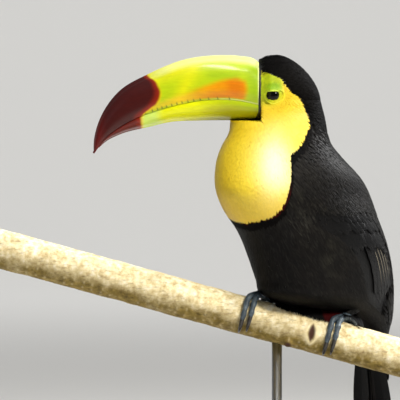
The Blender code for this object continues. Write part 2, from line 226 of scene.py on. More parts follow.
studio_profile = [(FLOOR_HOLE, 0), (FLOOR_RADIUS, 0)]
studio_profile += [
    (FLOOR_RADIUS + COVE_RADIUS * math.sin(bend), COVE_RADIUS * (1 - math.cos(bend)))
    for bend in np.linspace(0, np.pi / 2, COVE_STEPS)[1:]
]
studio_profile.append((FLOOR_RADIUS + COVE_RADIUS, WALL_TOP))
rows, centre, _ = turned(studio_profile, STUDIO_SIDES)
points = np.concatenate((rows.reshape(-1, 3), [centre]))
column = np.arange(STUDIO_SIDES)
middle_faces = np.stack(
    (np.full(STUDIO_SIDES, len(points) - 1), column, (column + 1) % STUDIO_SIDES), axis=-1)
ring_faces = faces_of(len(rows), STUDIO_SIDES)[:, ::-1]
studio = new_piece("studio_floor", points, [ring_faces, middle_faces], [studio_paint])

VIEW_WIDTH = 312.0
VIEW_DISTANCE = 3000.0
VIEW_DROP = 0.1128                  # metres from the crown down to the picture's middle
VIEW_AIM = Vector((-0.060, 0.0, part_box("head")[1].z - VIEW_DROP))
SENSOR_WIDTH = 36

camera = bpy.data.objects.new("camera", bpy.data.cameras.new("camera"))
bpy.context.scene.collection.objects.link(camera)
camera.location = VIEW_AIM + Vector((0, -VIEW_DISTANCE * MM, 0))
camera.rotation_euler = (math.pi / 2, 0, 0)
camera.data.sensor_width = SENSOR_WIDTH
camera.data.lens = SENSOR_WIDTH * VIEW_DISTANCE / VIEW_WIDTH
camera.data.clip_end = 60
bpy.context.scene.camera = camera
bpy.context.scene.view_settings.view_transform = "Standard"


def lamp(name, place, size, watts, colour, aim=VIEW_AIM, depth=None, roll=0.0):
    """A soft lamp that the camera doesn't see, at a place in metres, facing its aim: square, or a strip."""
    light = bpy.data.lights.new(name, "AREA")
    light.shape = "RECTANGLE"
    light.size = size
    light.size_y = depth or size
    light.energy = watts
    light.color = linear(colour)[:3]
    made = bpy.data.objects.new(name, light)
    bpy.context.scene.collection.objects.link(made)
    made.location = place
    facing = (aim - Vector(place)).to_track_quat("-Z", "Y")
    made.rotation_euler = (facing @ Quaternion((0, 0, 1), roll)).to_euler()
    made.visible_camera = False


lamp("key_lamp", (1.05, -1.45, 1.55), 0.36, 50, "#FFF7E6")
lamp("fill_lamp", (-2.2, -1.6, 0.9), 1.6, 2.5, "#EEF3FF")
lamp("back_lamp", (1.5, 0.6, 1.4), 0.6, 62, "#FFFFFF")
lamp("strip_lamp", (-0.1, -0.65, 2.0), 0.6, 15, "#FFFFFF", depth=0.12, roll=math.radians(-45))
lamp("wall_lamp", (0.0, 6.5, 8.0), 4.0, 560, "#FFFFFF", Vector((0.0, 13.0, 1.0)))

world = bpy.data.worlds.new("studio_air")
world.use_nodes = True
world.node_tree.nodes["Background"].inputs["Color"].default_value = linear("#F4F6FA")
world.node_tree.nodes["Background"].inputs["Strength"].default_value = 0.24
bpy.context.scene.world = world

# ---------------------------------------------------------------------------------------------
# Stand: a round foot turned from hardwood, stained dark and waxed, and a brushed steel rod with
# a small collar at each end. The rod is glued into the foot and into a hole under the branch.

FOOT_RADIUS = 110.0
FOOT_HEIGHT = 18.0
ROD_RADIUS = 4.0
ROD_LOW = 8.3
COLLAR_RADIUS = 8.0
COLLAR_HEIGHT = 4.0
ROD_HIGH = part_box("stand_rod")[1].z / MM
FOOT_SIDES, ROD_SIDES = 160, 64


def rounding(radius, height, round_radius, steps=8):
    """Quarter circle that ends a side wall at (radius, height) and turns it into a level top."""
    bend = np.linspace(0, np.pi / 2, steps)
    return list(zip(radius - round_radius * (1 - np.cos(bend)), height - round_radius * (1 - np.sin(bend))))


# Stained and waxed hardwood: dark brown, with fine rings that run across the foot, and a dull shine.
finish = Finish("stained_hardwood")
stretched = finish.mapped((1.0, 12.0, 12.0))
grain = finish.noise(40, 6.0, 0.62, stretched)
pores = finish.noise(9, at=stretched)
tone = finish.ramp(grain, (0.3, "#1C110B"), (0.52, "#3A2417"), (0.72, "#59391F"))
fleck = finish.ramp(pores, (0.36, "#888888"), (0.46, "#FFFFFF"))
stained_wood = finish.shader(
    Base_Color=finish.mix(0.8, tone, fleck, "MULTIPLY"), Roughness=0.42, Coat_Weight=0.25,
    Coat_Roughness=0.25, Normal=finish.bump(pores, 0.25, 0.3))

foot_profile = [
    (FOOT_RADIUS - 1.0, 0), (FOOT_RADIUS, 1.0), (FOOT_RADIUS, 6.0), *rounding(FOOT_RADIUS, 10.0, 2.5),
    (FOOT_RADIUS - 3.2, 10.2), *rounding(FOOT_RADIUS - 3.2, FOOT_HEIGHT, 5.0, 12), (ROD_RADIUS, FOOT_HEIGHT),
]
points, faces = closed_shell(*turned(foot_profile, FOOT_SIDES))
stand_foot = new_piece("stand_foot", points, faces, [stained_wood])
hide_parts("stand_base")
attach(stand_foot, "root")

# Brushed stainless steel: fine scratches round the rod break its highlight into a soft streak.
finish = Finish("brushed_steel")
scratches = finish.noise(3, 3.0, at=finish.mapped((1.0, 1.0, 14.0)))
brushed_steel = finish.shader(
    Base_Color=linear("#BFC1C2"), Metallic=1.0, Roughness=finish.span(scratches, 0.24, 0.44),
    Normal=finish.bump(scratches, 0.12, 0.1))

collar = [(COLLAR_RADIUS, 0), *rounding(COLLAR_RADIUS, COLLAR_HEIGHT, 1.4)]
rod_profile = [(ROD_RADIUS, ROD_LOW), (ROD_RADIUS, FOOT_HEIGHT)]
rod_profile += [(radius, FOOT_HEIGHT + height) for radius, height in collar]
rod_profile += [(ROD_RADIUS, FOOT_HEIGHT + COLLAR_HEIGHT), (ROD_RADIUS, ROD_HIGH)]
points, faces = closed_shell(*turned(rod_profile, ROD_SIDES))
stand_rod = new_piece("steel_rod", points, faces, [brushed_steel])
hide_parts("stand_rod")
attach(stand_rod, "root")

# ---------------------------------------------------------------------------------------------
# Perch: a cut length of a living branch with its bark on, painted pale cream on top and ochre
# below as painted light and shade, with a healed scar and a twig stub. Both ends are sawn square and show
# growth rings.

PERCH_RADIUS = 15.5
PERCH_HEIGHT = 179.5
PERCH_SLOPE = math.radians(15.2)
PERCH_ENDS = (-233.0, 116.0)
PERCH_ROWS, PERCH_COLUMNS, CUT_ROWS = 460, 150, 12
PERCH_AXIS = np.array((math.cos(PERCH_SLOPE), 0, -math.sin(PERCH_SLOPE)))
PERCH_UP = np.array((math.sin(PERCH_SLOPE), 0, math.cos(PERCH_SLOPE)))
NEAR = np.array((0, -1, 0))
SCAR = (27.4, 86.5, 2.5, 7.2)       # place along, degrees from the top, half length, half height
STUB = (12.0, 138.0, 3.6, 3.2)      # place along, degrees from the top, radius, height
LENTICEL_SPACING = (7.5, 6.0)       # along and around
GROWTH_RING = 1.4                   # width of a year's ring


def smooth_step(start, end, at):
    """0 before start, 1 after end, and an even S between."""
    t = np.clip((at - start) / (end - start), 0, 1)
    return t * t * (3 - 2 * t)


def bell(at, middle, width, power=2):
    """exp(-((at - middle) / width)^power)."""
    return np.exp(-((at - middle) / width) ** power)


def perch_point(along, degrees, radius):
    """Point by its place along the perch, its angle from the top towards the near side, and its radius."""
    along, bend, radius = np.broadcast_arrays(along, np.radians(degrees), radius)
    across = np.cos(bend)[..., None] * PERCH_UP + np.sin(bend)[..., None] * NEAR
    return np.array((0, 0, PERCH_HEIGHT)) + along[..., None] * PERCH_AXIS + radius[..., None] * across


def noise(points, size, seed=0):
    """Smooth random value, -1 to 1: values on a lattice of that spacing, blended between its corners."""
    place = np.asarray(points, dtype=float) / size
    cell = np.floor(place).astype(np.int64)
    part = place - cell
    part = part * part * (3 - 2 * part)
    total = 0
    for corner in np.ndindex(2, 2, 2):
        key = ((cell + corner + seed * 131) * (73856093, 19349663, 83492791)).sum(axis=-1)
        key = ((key ^ (key >> 13)) * 1274126177) & 0xFFFFFFFF
        value = ((key ^ (key >> 15)) & 0xFFFF) / 32767.5 - 1
        total = total + value * np.prod(np.where(corner, part, 1 - part), axis=-1)
    return total


def bark_radius(along, degrees):
    """The branch's slow swelling, plus knobs, wrinkles, lenticels, the scar's lips and the stub."""
    swell = 0.45 * np.sin(along / 31) + 0.35 * np.sin(along / 17 + 1)
    radius = PERCH_RADIUS - 0.5 + swell * np.cos(np.radians(degrees - 60))
    on_bark = perch_point(along, degrees, PERCH_RADIUS)
    grain = on_bark - 0.7 * along[..., None] * PERCH_AXIS
    radius = radius + 0.38 * noise(on_bark, 14) + 0.2 * noise(on_bark, 5, 1) + 0.1 * noise(on_bark, 2.1, 2)
    radius = radius - 0.28 * np.maximum(noise(grain, 2.3, 3) - 0.25, 0) - 0.1 * np.abs(noise(grain, 1.2, 4))
    around = np.radians(degrees) * PERCH_RADIUS
    cells = np.stack((along / LENTICEL_SPACING[0], around / LENTICEL_SPACING[1], 0 * along), axis=-1)
    whole = np.floor(cells)
    shift = np.stack([noise(whole * 7.3 + 0.5, 1.0, seed) for seed in (5, 6)], axis=-1)
    off = (cells[..., :2] - whole[..., :2] - 0.5 - 0.25 * shift) * LENTICEL_SPACING
    grown = noise(whole * 3.1 + 0.5, 1.0, 7) > -0.2
    wart = np.exp(-(off[..., 0] / 0.75) ** 2 - (off[..., 1] / 1.4) ** 2) * grown
    up_scar = (degrees - SCAR[1]) * np.pi / 180 * PERCH_RADIUS / SCAR[3]
    scar_off = np.abs(along - SCAR[0] - 0.5 * up_scar) / SCAR[2] + up_scar ** 2
    scar = 0.5 * bell(scar_off, 1.7, 0.5) - 1.3 * bell(scar_off, 0, 0.9, 4)
    stub_off = np.hypot(along - STUB[0], (degrees - STUB[1]) * np.pi / 180 * PERCH_RADIUS) / STUB[2]
    stub = STUB[3] / (1 + np.exp((stub_off - 1) * 5)) - 1.0 * bell(stub_off, 0, 0.5, 4)
    return radius + 0.3 * wart + scar + stub, wart, scar_off, stub_off


along, degrees = np.meshgrid(
    np.linspace(*PERCH_ENDS, PERCH_ROWS), np.linspace(0, 360, PERCH_COLUMNS, endpoint=False) - 90,
    indexing="ij")
radius, wart, scar_off, stub_off = bark_radius(along, degrees)
cut_shares = np.concatenate((np.linspace(0.08, 0.95, CUT_ROWS), (0.99,)))[:, None]
rows = np.concatenate((
    perch_point(along[:1], degrees[:1], radius[:1] * cut_shares),
    perch_point(along, degrees, radius),
    perch_point(along[-1:], degrees[-1:], radius[-1:] * cut_shares[::-1]),
))
points, faces = closed_shell(rows, perch_point(PERCH_ENDS[0], 0, 0), perch_point(PERCH_ENDS[1], 0, 0))
from_pith = np.concatenate((
    (radius[0] * cut_shares).ravel(), np.full(radius.size, -1.0),
    (radius[-1] * cut_shares[::-1]).ravel(), (0, 0)))
marks = np.zeros((len(points), 3))
bark_part = slice(len(cut_shares) * PERCH_COLUMNS, len(cut_shares) * PERCH_COLUMNS + radius.size)
marks[bark_part] = np.stack((
    # Pale lenticels, and a painted highlight on the scar's raised lips.
    (0.3 * wart + 0.8 * bell(scar_off, 1.9, 0.6)).ravel(),
    bell(scar_off, 0, 1.1, 6).ravel() + bell(stub_off, 0, 0.8, 4).ravel(),
    # Painted light and shade: the upper side is painted paler, the underside darker.
    smooth_step(-0.3, 0.75, np.cos(np.radians(degrees - 25))).ravel(),
), axis=-1)

# Bark: ochre, painted paler cream on its upper side as painted light, mottled at 1 to 8 mm, dull and rough.
# Sawn wood is pale with rings.
finish = Finish("bark_with_painted_light")
mark = finish.add("SeparateXYZ", Vector=finish.attribute("marks", "Vector"))[0]
blotch = finish.noise(16, 5.0, 0.6)
mottle = finish.noise(5, 5.0, 0.62)
crack = finish.noise(1.7, 4.0, 0.65, finish.mapped((0.22, 1.0, 1.0), (0, PERCH_SLOPE, 0)))
# Painted light: cream on the upper side and ochre below, broken up by random blotches.
top_light_and_blotch = finish.math_of("ADD", (mark, 2), finish.math_of("MULTIPLY_ADD", blotch, 1.3, -0.65), clamp=True)
ochre = finish.ramp(mottle, (0.3, "#5C4A18"), (0.5, "#7C682A"), (0.7, "#9C8544"))
cream = finish.ramp(mottle, (0.3, "#BCA472"), (0.5, "#E0D2A8"), (0.7, "#F5F0DC"))
cracked = finish.ramp(crack, (0.34, "#6E5433"), (0.46, "#FFFFFF"))
tone = finish.mix(0.4, finish.mix(top_light_and_blotch, ochre, cream), cracked, "MULTIPLY")
# Pale lenticels, and a painted highlight on the scar's raised lips.
tone = finish.mix((mark, 0), tone, linear("#E6D8AE"))
tone = finish.mix((mark, 1), tone, linear("#3C1D0E"))
pith = finish.attribute("from_pith", "Fac")
ring = finish.math_of("SINE", finish.math_of("MULTIPLY_ADD", pith, 2 * math.pi / GROWTH_RING, mottle))
wood_tone = finish.ramp(
    finish.span(ring, 0.0, low=-1.0), (0.0, "#B08D58"), (0.6, "#D9BE8A"), (1.0, "#E4CD9E"))
is_cut = finish.math_of("GREATER_THAN", pith, -0.5)
rough = finish.math_of("ADD", crack, mottle)
bark = finish.shader(
    Base_Color=finish.mix(is_cut, tone, wood_tone), Roughness=0.82, Normal=finish.bump(rough, 0.35, 0.4))

perch = new_piece("branch", points, faces, [bark], marks=marks, from_pith=from_pith)
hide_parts("perch")
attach(perch, "root")

# ---------------------------------------------------------------------------------------------
# Body form: the outside of the plumage as level rings, from the tail's root to the crown. The
# skin, every feather and the wings are placed from it, so they fit each other and the solids.

CROWN_TOP = 389.0
CROWN_BASE = 354.0
HEAD_Y = -14.7
BODY_TURN = math.radians(42)
BODY_BACK = np.array((math.cos(BODY_TURN), math.sin(BODY_TURN), 0))
TURN_HEIGHTS = (340.0, 276.0)
FRONT_LINE = (
    (354, -33.6), (338, -37.8), (331, -37.2), (326, -38.9), (320, -42.4), (312, -45.9), (300, -48.4),
    (284, -48.0), (268, -41.7),
    (253, -31.6), (230, -22.0), (214, -16.6), (203, -12.5), (196, 0.0), (189, 22.0), (175, 51.0), (167, 60.0),
    (157, 59.8), (143, 59.4), (125, 59.7),
)
BACK_LINE = (
    (354, 33.5), (338, 37.5), (326, 39.8), (319, 42.5), (311, 49.0), (292, 66.3), (264, 79.0),
    (239, 88.1), (214, 92.8), (198, 93.5), (182, 92.0), (167, 89.0), (157, 90.8), (143, 93.6), (125, 96.1),
)
HALF_WIDTH = (
    (354, 23.5), (338, 26.5), (327, 31.0), (315, 37.0), (300, 42.5), (284, 46.0), (260, 48.0),
    (237, 47.0), (214, 42.0), (200, 38.0), (189, 32.0), (178, 25.0), (167, 19.0), (157, 21.5), (143, 25.0),
    (125, 27.0),
)
WING_FRONT_EDGE = ((290, 86), (281, 70), (265, 62), (245, 66), (228, 72), (205, 77), (185, 80), (170, 92))
WING_REAR_EDGE = ((290, 94), (281, 112), (265, 126), (245, 136), (228, 141), (205, 141), (185, 128), (170, 98))


def curve(table, at):
    """Smooth value at each of `at`: cubic pieces through a table of (place, value), in order either way."""
    rows = np.array(table, dtype=float)
    rows = rows[np.argsort(rows[:, 0])]
    place, value = rows[:, 0], rows[:, 1]
    slope = np.gradient(value, place)
    at = np.clip(np.asarray(at, dtype=float), place[0], place[-1])
    k = np.clip(np.searchsorted(place, at) - 1, 0, len(place) - 2)
    span = place[k + 1] - place[k]
    t = (at - place[k]) / span
    blend = t * t * (3 - 2 * t)
    return (
        value[k] * (1 - blend) + value[k + 1] * blend
        + span * (slope[k] * t * (1 - t) ** 2 - slope[k + 1] * t * t * (1 - t))
    )


def wing_rear(z):
    """Rear edge of the folded wing, in degrees round the ring, drawn in below where its tips narrow."""
    front, rear = curve(WING_FRONT_EDGE, z), curve(WING_REAR_EDGE, z)
    return rear - 0.3 * (rear - front) * smooth_step(207, 193, z)


def unit(vectors):
    """Each vector over its own length."""
    return vectors / np.maximum(np.linalg.norm(vectors, axis=-1, keepdims=True), 1e-9)


def ring_sizes(z):
    """Centre, turn, half width, and reach to the front and the back of the form's level ring at z."""
    crown = np.clip((z - CROWN_BASE) / (CROWN_TOP - CROWN_BASE), 0, 0.99999)
    front = curve(FRONT_LINE, z) * (1 - crown ** 2.2) ** (1 / 2.2)
    back = curve(BACK_LINE, z) * (1 - crown ** 1.6) ** (1 / 1.6)
    half = curve(HALF_WIDTH, z) * (1 - crown ** 2.0) ** 0.5
    turn = BODY_TURN * (1 - smooth_step(TURN_HEIGHTS[1], TURN_HEIGHTS[0], z))
    middle = np.where(z > CROWN_BASE, 0.0, (front + back) / 2)
    centre_y = HEAD_Y + np.tan(turn) * middle
    aside = half * np.sin(turn)
    to_front = np.sqrt(np.maximum((middle - front) ** 2 - aside ** 2, 0.01)) / np.cos(turn)
    to_back = np.sqrt(np.maximum((back - middle) ** 2 - aside ** 2, 0.01)) / np.cos(turn)
    return middle, centre_y, turn, half, to_front, to_back


def body_point(angle, z):
    """Point on the form's oval ring at a height, at an angle from the breast towards the bird's left."""
    angle, z = np.broadcast_arrays(np.asarray(angle, dtype=float), np.asarray(z, dtype=float))
    middle, centre_y, turn, half, to_front, to_back = ring_sizes(z)
    ahead = np.where(np.cos(angle) > 0, to_front, to_back) * np.cos(angle)
    left = half * np.sin(angle)
    x = middle - ahead * np.cos(turn) + left * np.sin(turn)
    y = centre_y - ahead * np.sin(turn) - left * np.cos(turn)
    return np.stack((x, y, z), axis=-1)


def body_normal(angle, z):
    """Outward unit normal: the cross product of the form's steps round the ring and down the body."""
    step = 0.5
    z = np.minimum(z, CROWN_TOP - 2 * step)
    around = body_point(angle + 0.02, z) - body_point(angle - 0.02, z)
    down = body_point(angle, z - step) - body_point(angle, z + step)
    return unit(np.cross(down, around))


def ring_place(points):
    """Angle of each point round its level ring, and how far out it is: 1 lies on the form."""
    middle, centre_y, turn, half, to_front, to_back = ring_sizes(points[..., 2])
    x, y = points[..., 0] - middle, points[..., 1] - centre_y
    ahead = -(x * np.cos(turn) + y * np.sin(turn))
    left = x * np.sin(turn) - y * np.cos(turn)
    ahead = ahead / np.where(ahead > 0, to_front, to_back)
    left = left / half
    return np.arctan2(left, ahead), np.hypot(ahead, left)


def onto_body(points):
    """Points brought onto the form: level with their height, or on the crown along the ray from its centre."""
    angle, _ = ring_place(points)
    moved = body_point(angle, points[..., 2])
    high = points[..., 2] > CROWN_BASE
    centre = np.array((0, HEAD_Y, CROWN_BASE))
    ray = points[high] - centre
    inner, outer = np.full(len(ray), 0.5), np.full(len(ray), 1.6)
    for _ in range(14):
        share = (inner + outer) / 2
        trial = centre + ray * share[:, None]
        inside = (ring_place(trial)[1] < 1) & (trial[:, 2] < CROWN_TOP)
        inner, outer = np.where(inside, share, inner), np.where(inside, outer, share)
    moved[high] = centre + ray * inner[:, None]
    return moved


def normal_at(points):
    """Outward normal of the form at points on it, turned upright near the crown's top."""
    angle, _ = ring_place(points)
    upright = smooth_step(385, 389, points[..., 2])[..., None] * (0, 0, 3.0)
    return unit(body_normal(angle, points[..., 2]) + upright)


# ---------------------------------------------------------------------------------------------
# Markings: the pattern that skin and plumage share. A yellow bib and face with a thin dark red
# lower border, lime skin round the eye, black elsewhere, white over the tail and red under it.

BIB_EDGE = (
    (257, 0), (258.5, 16), (262, 32.0), (268, 43.1), (275, 49.7), (284, 57.2), (296, 68.4),
    (303.5, 76.5), (310, 85.7), (315, 99.0), (320, 110.5), (325, 118.3), (330, 126.9), (335, 130.5),
    (346, 128.0), (355, 121), (360, 109), (366, 101), (370, 94), (373, 80), (376, 65), (379, 40),
    (381, 0),
)
BIB_FOOT = ((0, 16, 32, 43, 50), (257, 258.5, 262, 268, 275))     # its lower edge: degrees, and heights
BIB_TOP = 381
EYE_X, EYE_Z = -3.0, 356.9
EYE_RADIUS = 6.4
EYE_OUT = 1.3

YELLOW = linear("#F3DE34")
GOLD_TONE_AND_SHADE = linear("#DDBA10")
PAINTED_BIB_HIGHLIGHT = linear("#FFFBDC")
PAINTED_LOW_BIB_SHADE = linear("#D0A200")
CHEEK_YELLOW = linear("#E8C400")
TEMPLE_AMBER = linear("#F0C012")
BROW_GREEN = linear("#6FA80C")
LIME = linear("#A6B60C")
BIB_RED = linear("#3A0B0A")
BLACK = linear("#060607")
BROWN_BLACK = linear("#0A0807")
SHEEN_GREY_BLACK = linear("#26251F")
WHITE = linear("#D9D2C2")
TAIL_RED = linear("#7E1016")


def bib_inside(angle, z):
    """How far a place lies inside the bib's border, in mm: degrees to the edge times the ring's size."""
    degrees = np.degrees(np.abs(angle))
    from_side = (curve(BIB_EDGE, z) - degrees) * np.radians(1) * ring_sizes(z)[3]
    near_foot = np.minimum(from_side, z - np.interp(degrees, *BIB_FOOT))
    near_top = np.minimum(from_side, BIB_TOP - z)
    return np.where(z < 300, near_foot, np.where(z > 372, near_top, from_side))


def blend_in(colour, other, share):
    """The colour moved towards the other by a share of the way."""
    return colour + (np.array(other) - colour) * np.clip(share, 0, 1)[..., None]


def layered(colour, *layers):
    """Other colours blended in, one over the next, each by its own share."""
    for other, share in layers:
        colour = blend_in(colour, other, share)
    return colour


def flat(colour, *shape):
    """The same colour at every place of an array of that shape."""
    return np.zeros((*shape, 4)) + colour


def blot(x, z, middle, size):
    """1 at its middle, fading round it as exp(-(x / width)² - (z / height)²)."""
    return np.exp(-((x - middle[0]) / size[0]) ** 2 - ((z - middle[1]) / size[1]) ** 2)


def markings(angle, z):
    """Colour of skin and feathers at a place on the form, with a painted highlight and painted shade on the
    bib and painted sheen on the black.
    """
    angle = (np.asarray(angle, dtype=float) + np.pi) % (2 * np.pi) - np.pi
    degrees = np.degrees(np.abs(angle))
    point = body_point(angle, z)
    x = point[..., 0]
    spread = noise(point, 9, 11)
    inside = bib_inside(angle, z)
    # Gold share: partly random tone, partly painted shade that grows away from the bib's painted highlight.
    gold_tone_and_shade = 0.15 + 0.1 * noise(point, 14, 12) + 0.3 * smooth_step(14, 36, np.hypot(x + 4, (z - 300) * 0.75))
    near_eye = np.hypot((x - (EYE_X - 3.5)) / 10.5, (z - (EYE_Z + 6.5)) / 11.5)
    brow = np.hypot((x - EYE_X) / 8.0, (z - EYE_Z - 6.5) / 4.5)
    temple = np.hypot((x - 7.5) / 5.0, (z - 363.5) / 5.5)
    yellow = layered(
        flat(YELLOW, *x.shape),
        # Painted shade: the bib turns more gold towards its front edge.
        (GOLD_TONE_AND_SHADE, gold_tone_and_shade + 0.25 * smooth_step(-20, -44, x) * (z < 345)),
        # Painted highlight: a pale glare on the middle of the bib.
        (PAINTED_BIB_HIGHLIGHT, 0.85 * blot(x, z, (-3, 301), (12, 22))),
        # Painted shade: the bib turns darker gold towards the bottom.
        (PAINTED_LOW_BIB_SHADE, 0.42 * smooth_step(300, 258, z + 5 * spread)),
        (CHEEK_YELLOW, 0.45 * smooth_step(314, 330, z)),
        (LIME, smooth_step(1.6, 0.7, near_eye) * (z > 345)),
        (BROW_GREEN, 0.65 * smooth_step(1.2, 0.3, brow)),
        (TEMPLE_AMBER, 0.4 * smooth_step(1.3, 0.4, temple)),
    )
    # Grey patches on the black breast and flank: painted sheen.
    painted_sheen_patches = blot(x, z, (16, 268), (9, 17)) + blot(x, z, (42, 230), (9, 16))
    border = 0.6 * smooth_step(-2.0, -1.3, inside) * smooth_step(0.1, -0.3, inside) * smooth_step(290, 276, z)
    white_top = z + 4 * spread + 0.4 * (180 - degrees)
    over_tail = smooth_step(140, 152, degrees + 6 * spread) * smooth_step(203, 194, white_top)
    over_tail = over_tail * smooth_step(150, 156, z)
    return layered(
        flat(BLACK, *x.shape),
        (BROWN_BLACK, 0.5 + 0.5 * spread),
        (SHEEN_GREY_BLACK, 0.55 * painted_sheen_patches * smooth_step(-0.3, 0.6, noise(point, 6, 13))),
        (yellow, smooth_step(-0.25, 0.25, inside)),
        (BIB_RED, border),
        (WHITE, over_tail),
        (TAIL_RED, smooth_step(56, 46, degrees) * smooth_step(174, 168, z)),
    )


def coat_depth(angle, z):
    """How deep the skin lies under the plumage: thin on the face, thick on the body and under the wings."""
    x = body_point(angle, z)[..., 0]
    near_eye = np.hypot((x - (EYE_X - 4)) / 12.5, (z - (EYE_Z + 5)) / 14.0)
    head = 0.9 + 0.9 * smooth_step(5, 25, x)
    depth = head + (2.6 - head) * smooth_step(345, 318, z)
    depth = depth + 2.2 * smooth_step(305, 280, z) * smooth_step(-2, 3, -bib_inside(angle, z))
    depth = 0.25 + (depth - 0.25) * np.where(z > 340, smooth_step(0.8, 1.4, near_eye), 1)
    degrees = np.degrees(np.abs((angle + np.pi) % (2 * np.pi) - np.pi))
    in_wing = np.minimum(degrees - curve(WING_FRONT_EDGE, z), wing_rear(z) - degrees)
    return depth + 3.2 * smooth_step(-6, 8, in_wing) * smooth_step(291, 284, z) * smooth_step(165, 175, z)


FOOT_PLACES = {"right": -17.8, "left": 50.0}
BELLY_ROOM = 0.9
FOOT_ROOM = 7.5


def off_perch(points, room, foot_room):
    """Points too near the branch pushed straight out from its axis, further where a foot stands."""
    from_axis = points - (0, 0, PERCH_HEIGHT)
    along = from_axis @ PERCH_AXIS
    across = from_axis - along[..., None] * PERCH_AXIS
    distance = np.linalg.norm(across, axis=-1)
    over_feet = sum(bell(along, place, 15.0, 4) for place in FOOT_PLACES.values())
    on_top = smooth_step(-0.2, 0.5, (across @ PERCH_UP) / np.maximum(distance, 1))
    least = PERCH_RADIUS + room + foot_room * np.minimum(over_feet, 1) * on_top
    push = np.maximum(least - distance, 0) * (distance < 40)
    return points + across / np.maximum(distance, 1e-6)[..., None] * push[..., None]


BILL_BASE = -14.0
TOMIUM_BASE = 349.4
CULMEN_BASE = 382.5
GONYS_BASE = 338.3
BILL_HALF = 18.0
UPPER_PROFILE = ((0.0, 0.90), (0.18, 1.0), (0.45, 0.97), (0.7, 0.80), (0.88, 0.50), (1.0, 0.13))
LOWER_PROFILE = ((0.0, 0.90), (0.3, 0.88), (0.6, 0.76), (0.85, 0.48), (1.0, 0.12))


def bill_root_half(z):
    """Half width of the bill's root at a height: the upper profile above the gape, the lower one below."""
    upper = curve(UPPER_PROFILE, (z - TOMIUM_BASE) / (CULMEN_BASE - TOMIUM_BASE))
    lower = curve(LOWER_PROFILE, (TOMIUM_BASE - z) / (TOMIUM_BASE - GONYS_BASE))
    return BILL_HALF * np.where(z > TOMIUM_BASE, upper, lower)


def face_to_bill(points):
    """The face drawn in to the bill's root over its last 9 mm, and cut off level with it."""
    x, y, z = np.moveaxis(points, -1, 0)
    beside = smooth_step(GONYS_BASE - 3, GONYS_BASE + 1, z)
    share = smooth_step(BILL_BASE + 9, BILL_BASE, x) * beside
    out = np.abs(y - HEAD_Y)
    drawn = np.minimum(out, bill_root_half(z) + 0.2)
    y = HEAD_Y + np.sign(y - HEAD_Y) * (out + (drawn - out) * share)
    x = np.where(z > GONYS_BASE + 0.3, np.maximum(x, BILL_BASE - 0.4), x)
    return np.stack((x, y, z), axis=-1)


# ---------------------------------------------------------------------------------------------
# Skin: one cast skin from the crown to the tail's root, with the eyelids, the shanks and the
# toes joined to it. It lies under the plumage by the coat's depth, bare round the eyes and on
# the feet, where it shows its fine papillae, creases and scutes.

SKIN_COLUMNS = 256
LID_SIDES = 96
TOE_RINGS, TOE_SIDES = 84, 28
SHANK_RINGS, SHANK_SIDES = 70, 32
HUB_RINGS, HUB_SIDES = 30, 36
TAIL_STUB = (150.0, 167.0)
LID_OPENING = (5.5, 2.9, 4.7)       # half width, height over and under the middle
LID_REACH = 7.0
HUB_LIFT = 4.0
HUB_RADII = (5.0, 4.6, 3.4)
TOE_RADIUS = (2.5, 1.8)
TOE_SINK = 0.55
TOES = {                            # side of the perch, shift along it, degrees wrapped
    "outer_front": (1, -9.5, 104),
    "inner_front": (1, -4.0, 92),
    "outer_rear": (-1, 3.5, 96),
    "inner_rear": (-1, 9.0, 78),
}
TARSUS_LENGTH = 30.0
TARSUS_RISE = math.radians(42)
TARSUS_HEADING = BODY_BACK * math.cos(TARSUS_RISE) + np.array((0, 0, math.sin(TARSUS_RISE)))
FOOT_HUBS = [perch_point(place, 0, PERCH_RADIUS + HUB_LIFT) for place in FOOT_PLACES.values()]
LID_STEPS = (                       # distance from the opening, and height over the face
    (-0.25, 0.0), (-0.05, 0.3), (0.12, 0.5), (0.35, 0.58), (0.6, 0.55), (0.9, 0.46), (1.2, 0.4), (1.6, 0.38),
    (2.0, 0.32), (2.4, 0.26), (2.8, 0.24), (3.3, 0.18), (3.8, 0.13), (4.4, 0.1), (5.0, 0.05), (5.7, 0.02),
    (6.4, 0.0), (LID_REACH, -0.15),
)
LID_GREEN = linear("#C9DC4A")
LID_MARGIN = linear("#20240A")
BILL_SHADE = linear("#0A0B08")


def tube(path, radii, sides, aside):
    """Rings square to a path, with a radius or a ring of radii each; their first point leans `aside`."""
    ahead = unit(np.gradient(path, axis=0))
    first = unit(aside - ahead * np.sum(ahead * aside, axis=1, keepdims=True))
    second = np.cross(ahead, first)
    turn = full_turn(sides)[:, None]
    return path[:, None] + radii[..., None] * (np.cos(turn) * first[:, None] + np.sin(turn) * second[:, None])


def eye_centre(side):
    """Middle of the eyeball: sunk in the cheek so that it stands out of it by EYE_OUT."""
    cheek = ring_sizes(np.array(EYE_Z))
    half = float(cheek[3] * math.sqrt(1 - (EYE_X / float(cheek[4])) ** 2))
    return np.array((EYE_X, HEAD_Y + side * (half + EYE_OUT - EYE_RADIUS), EYE_Z))


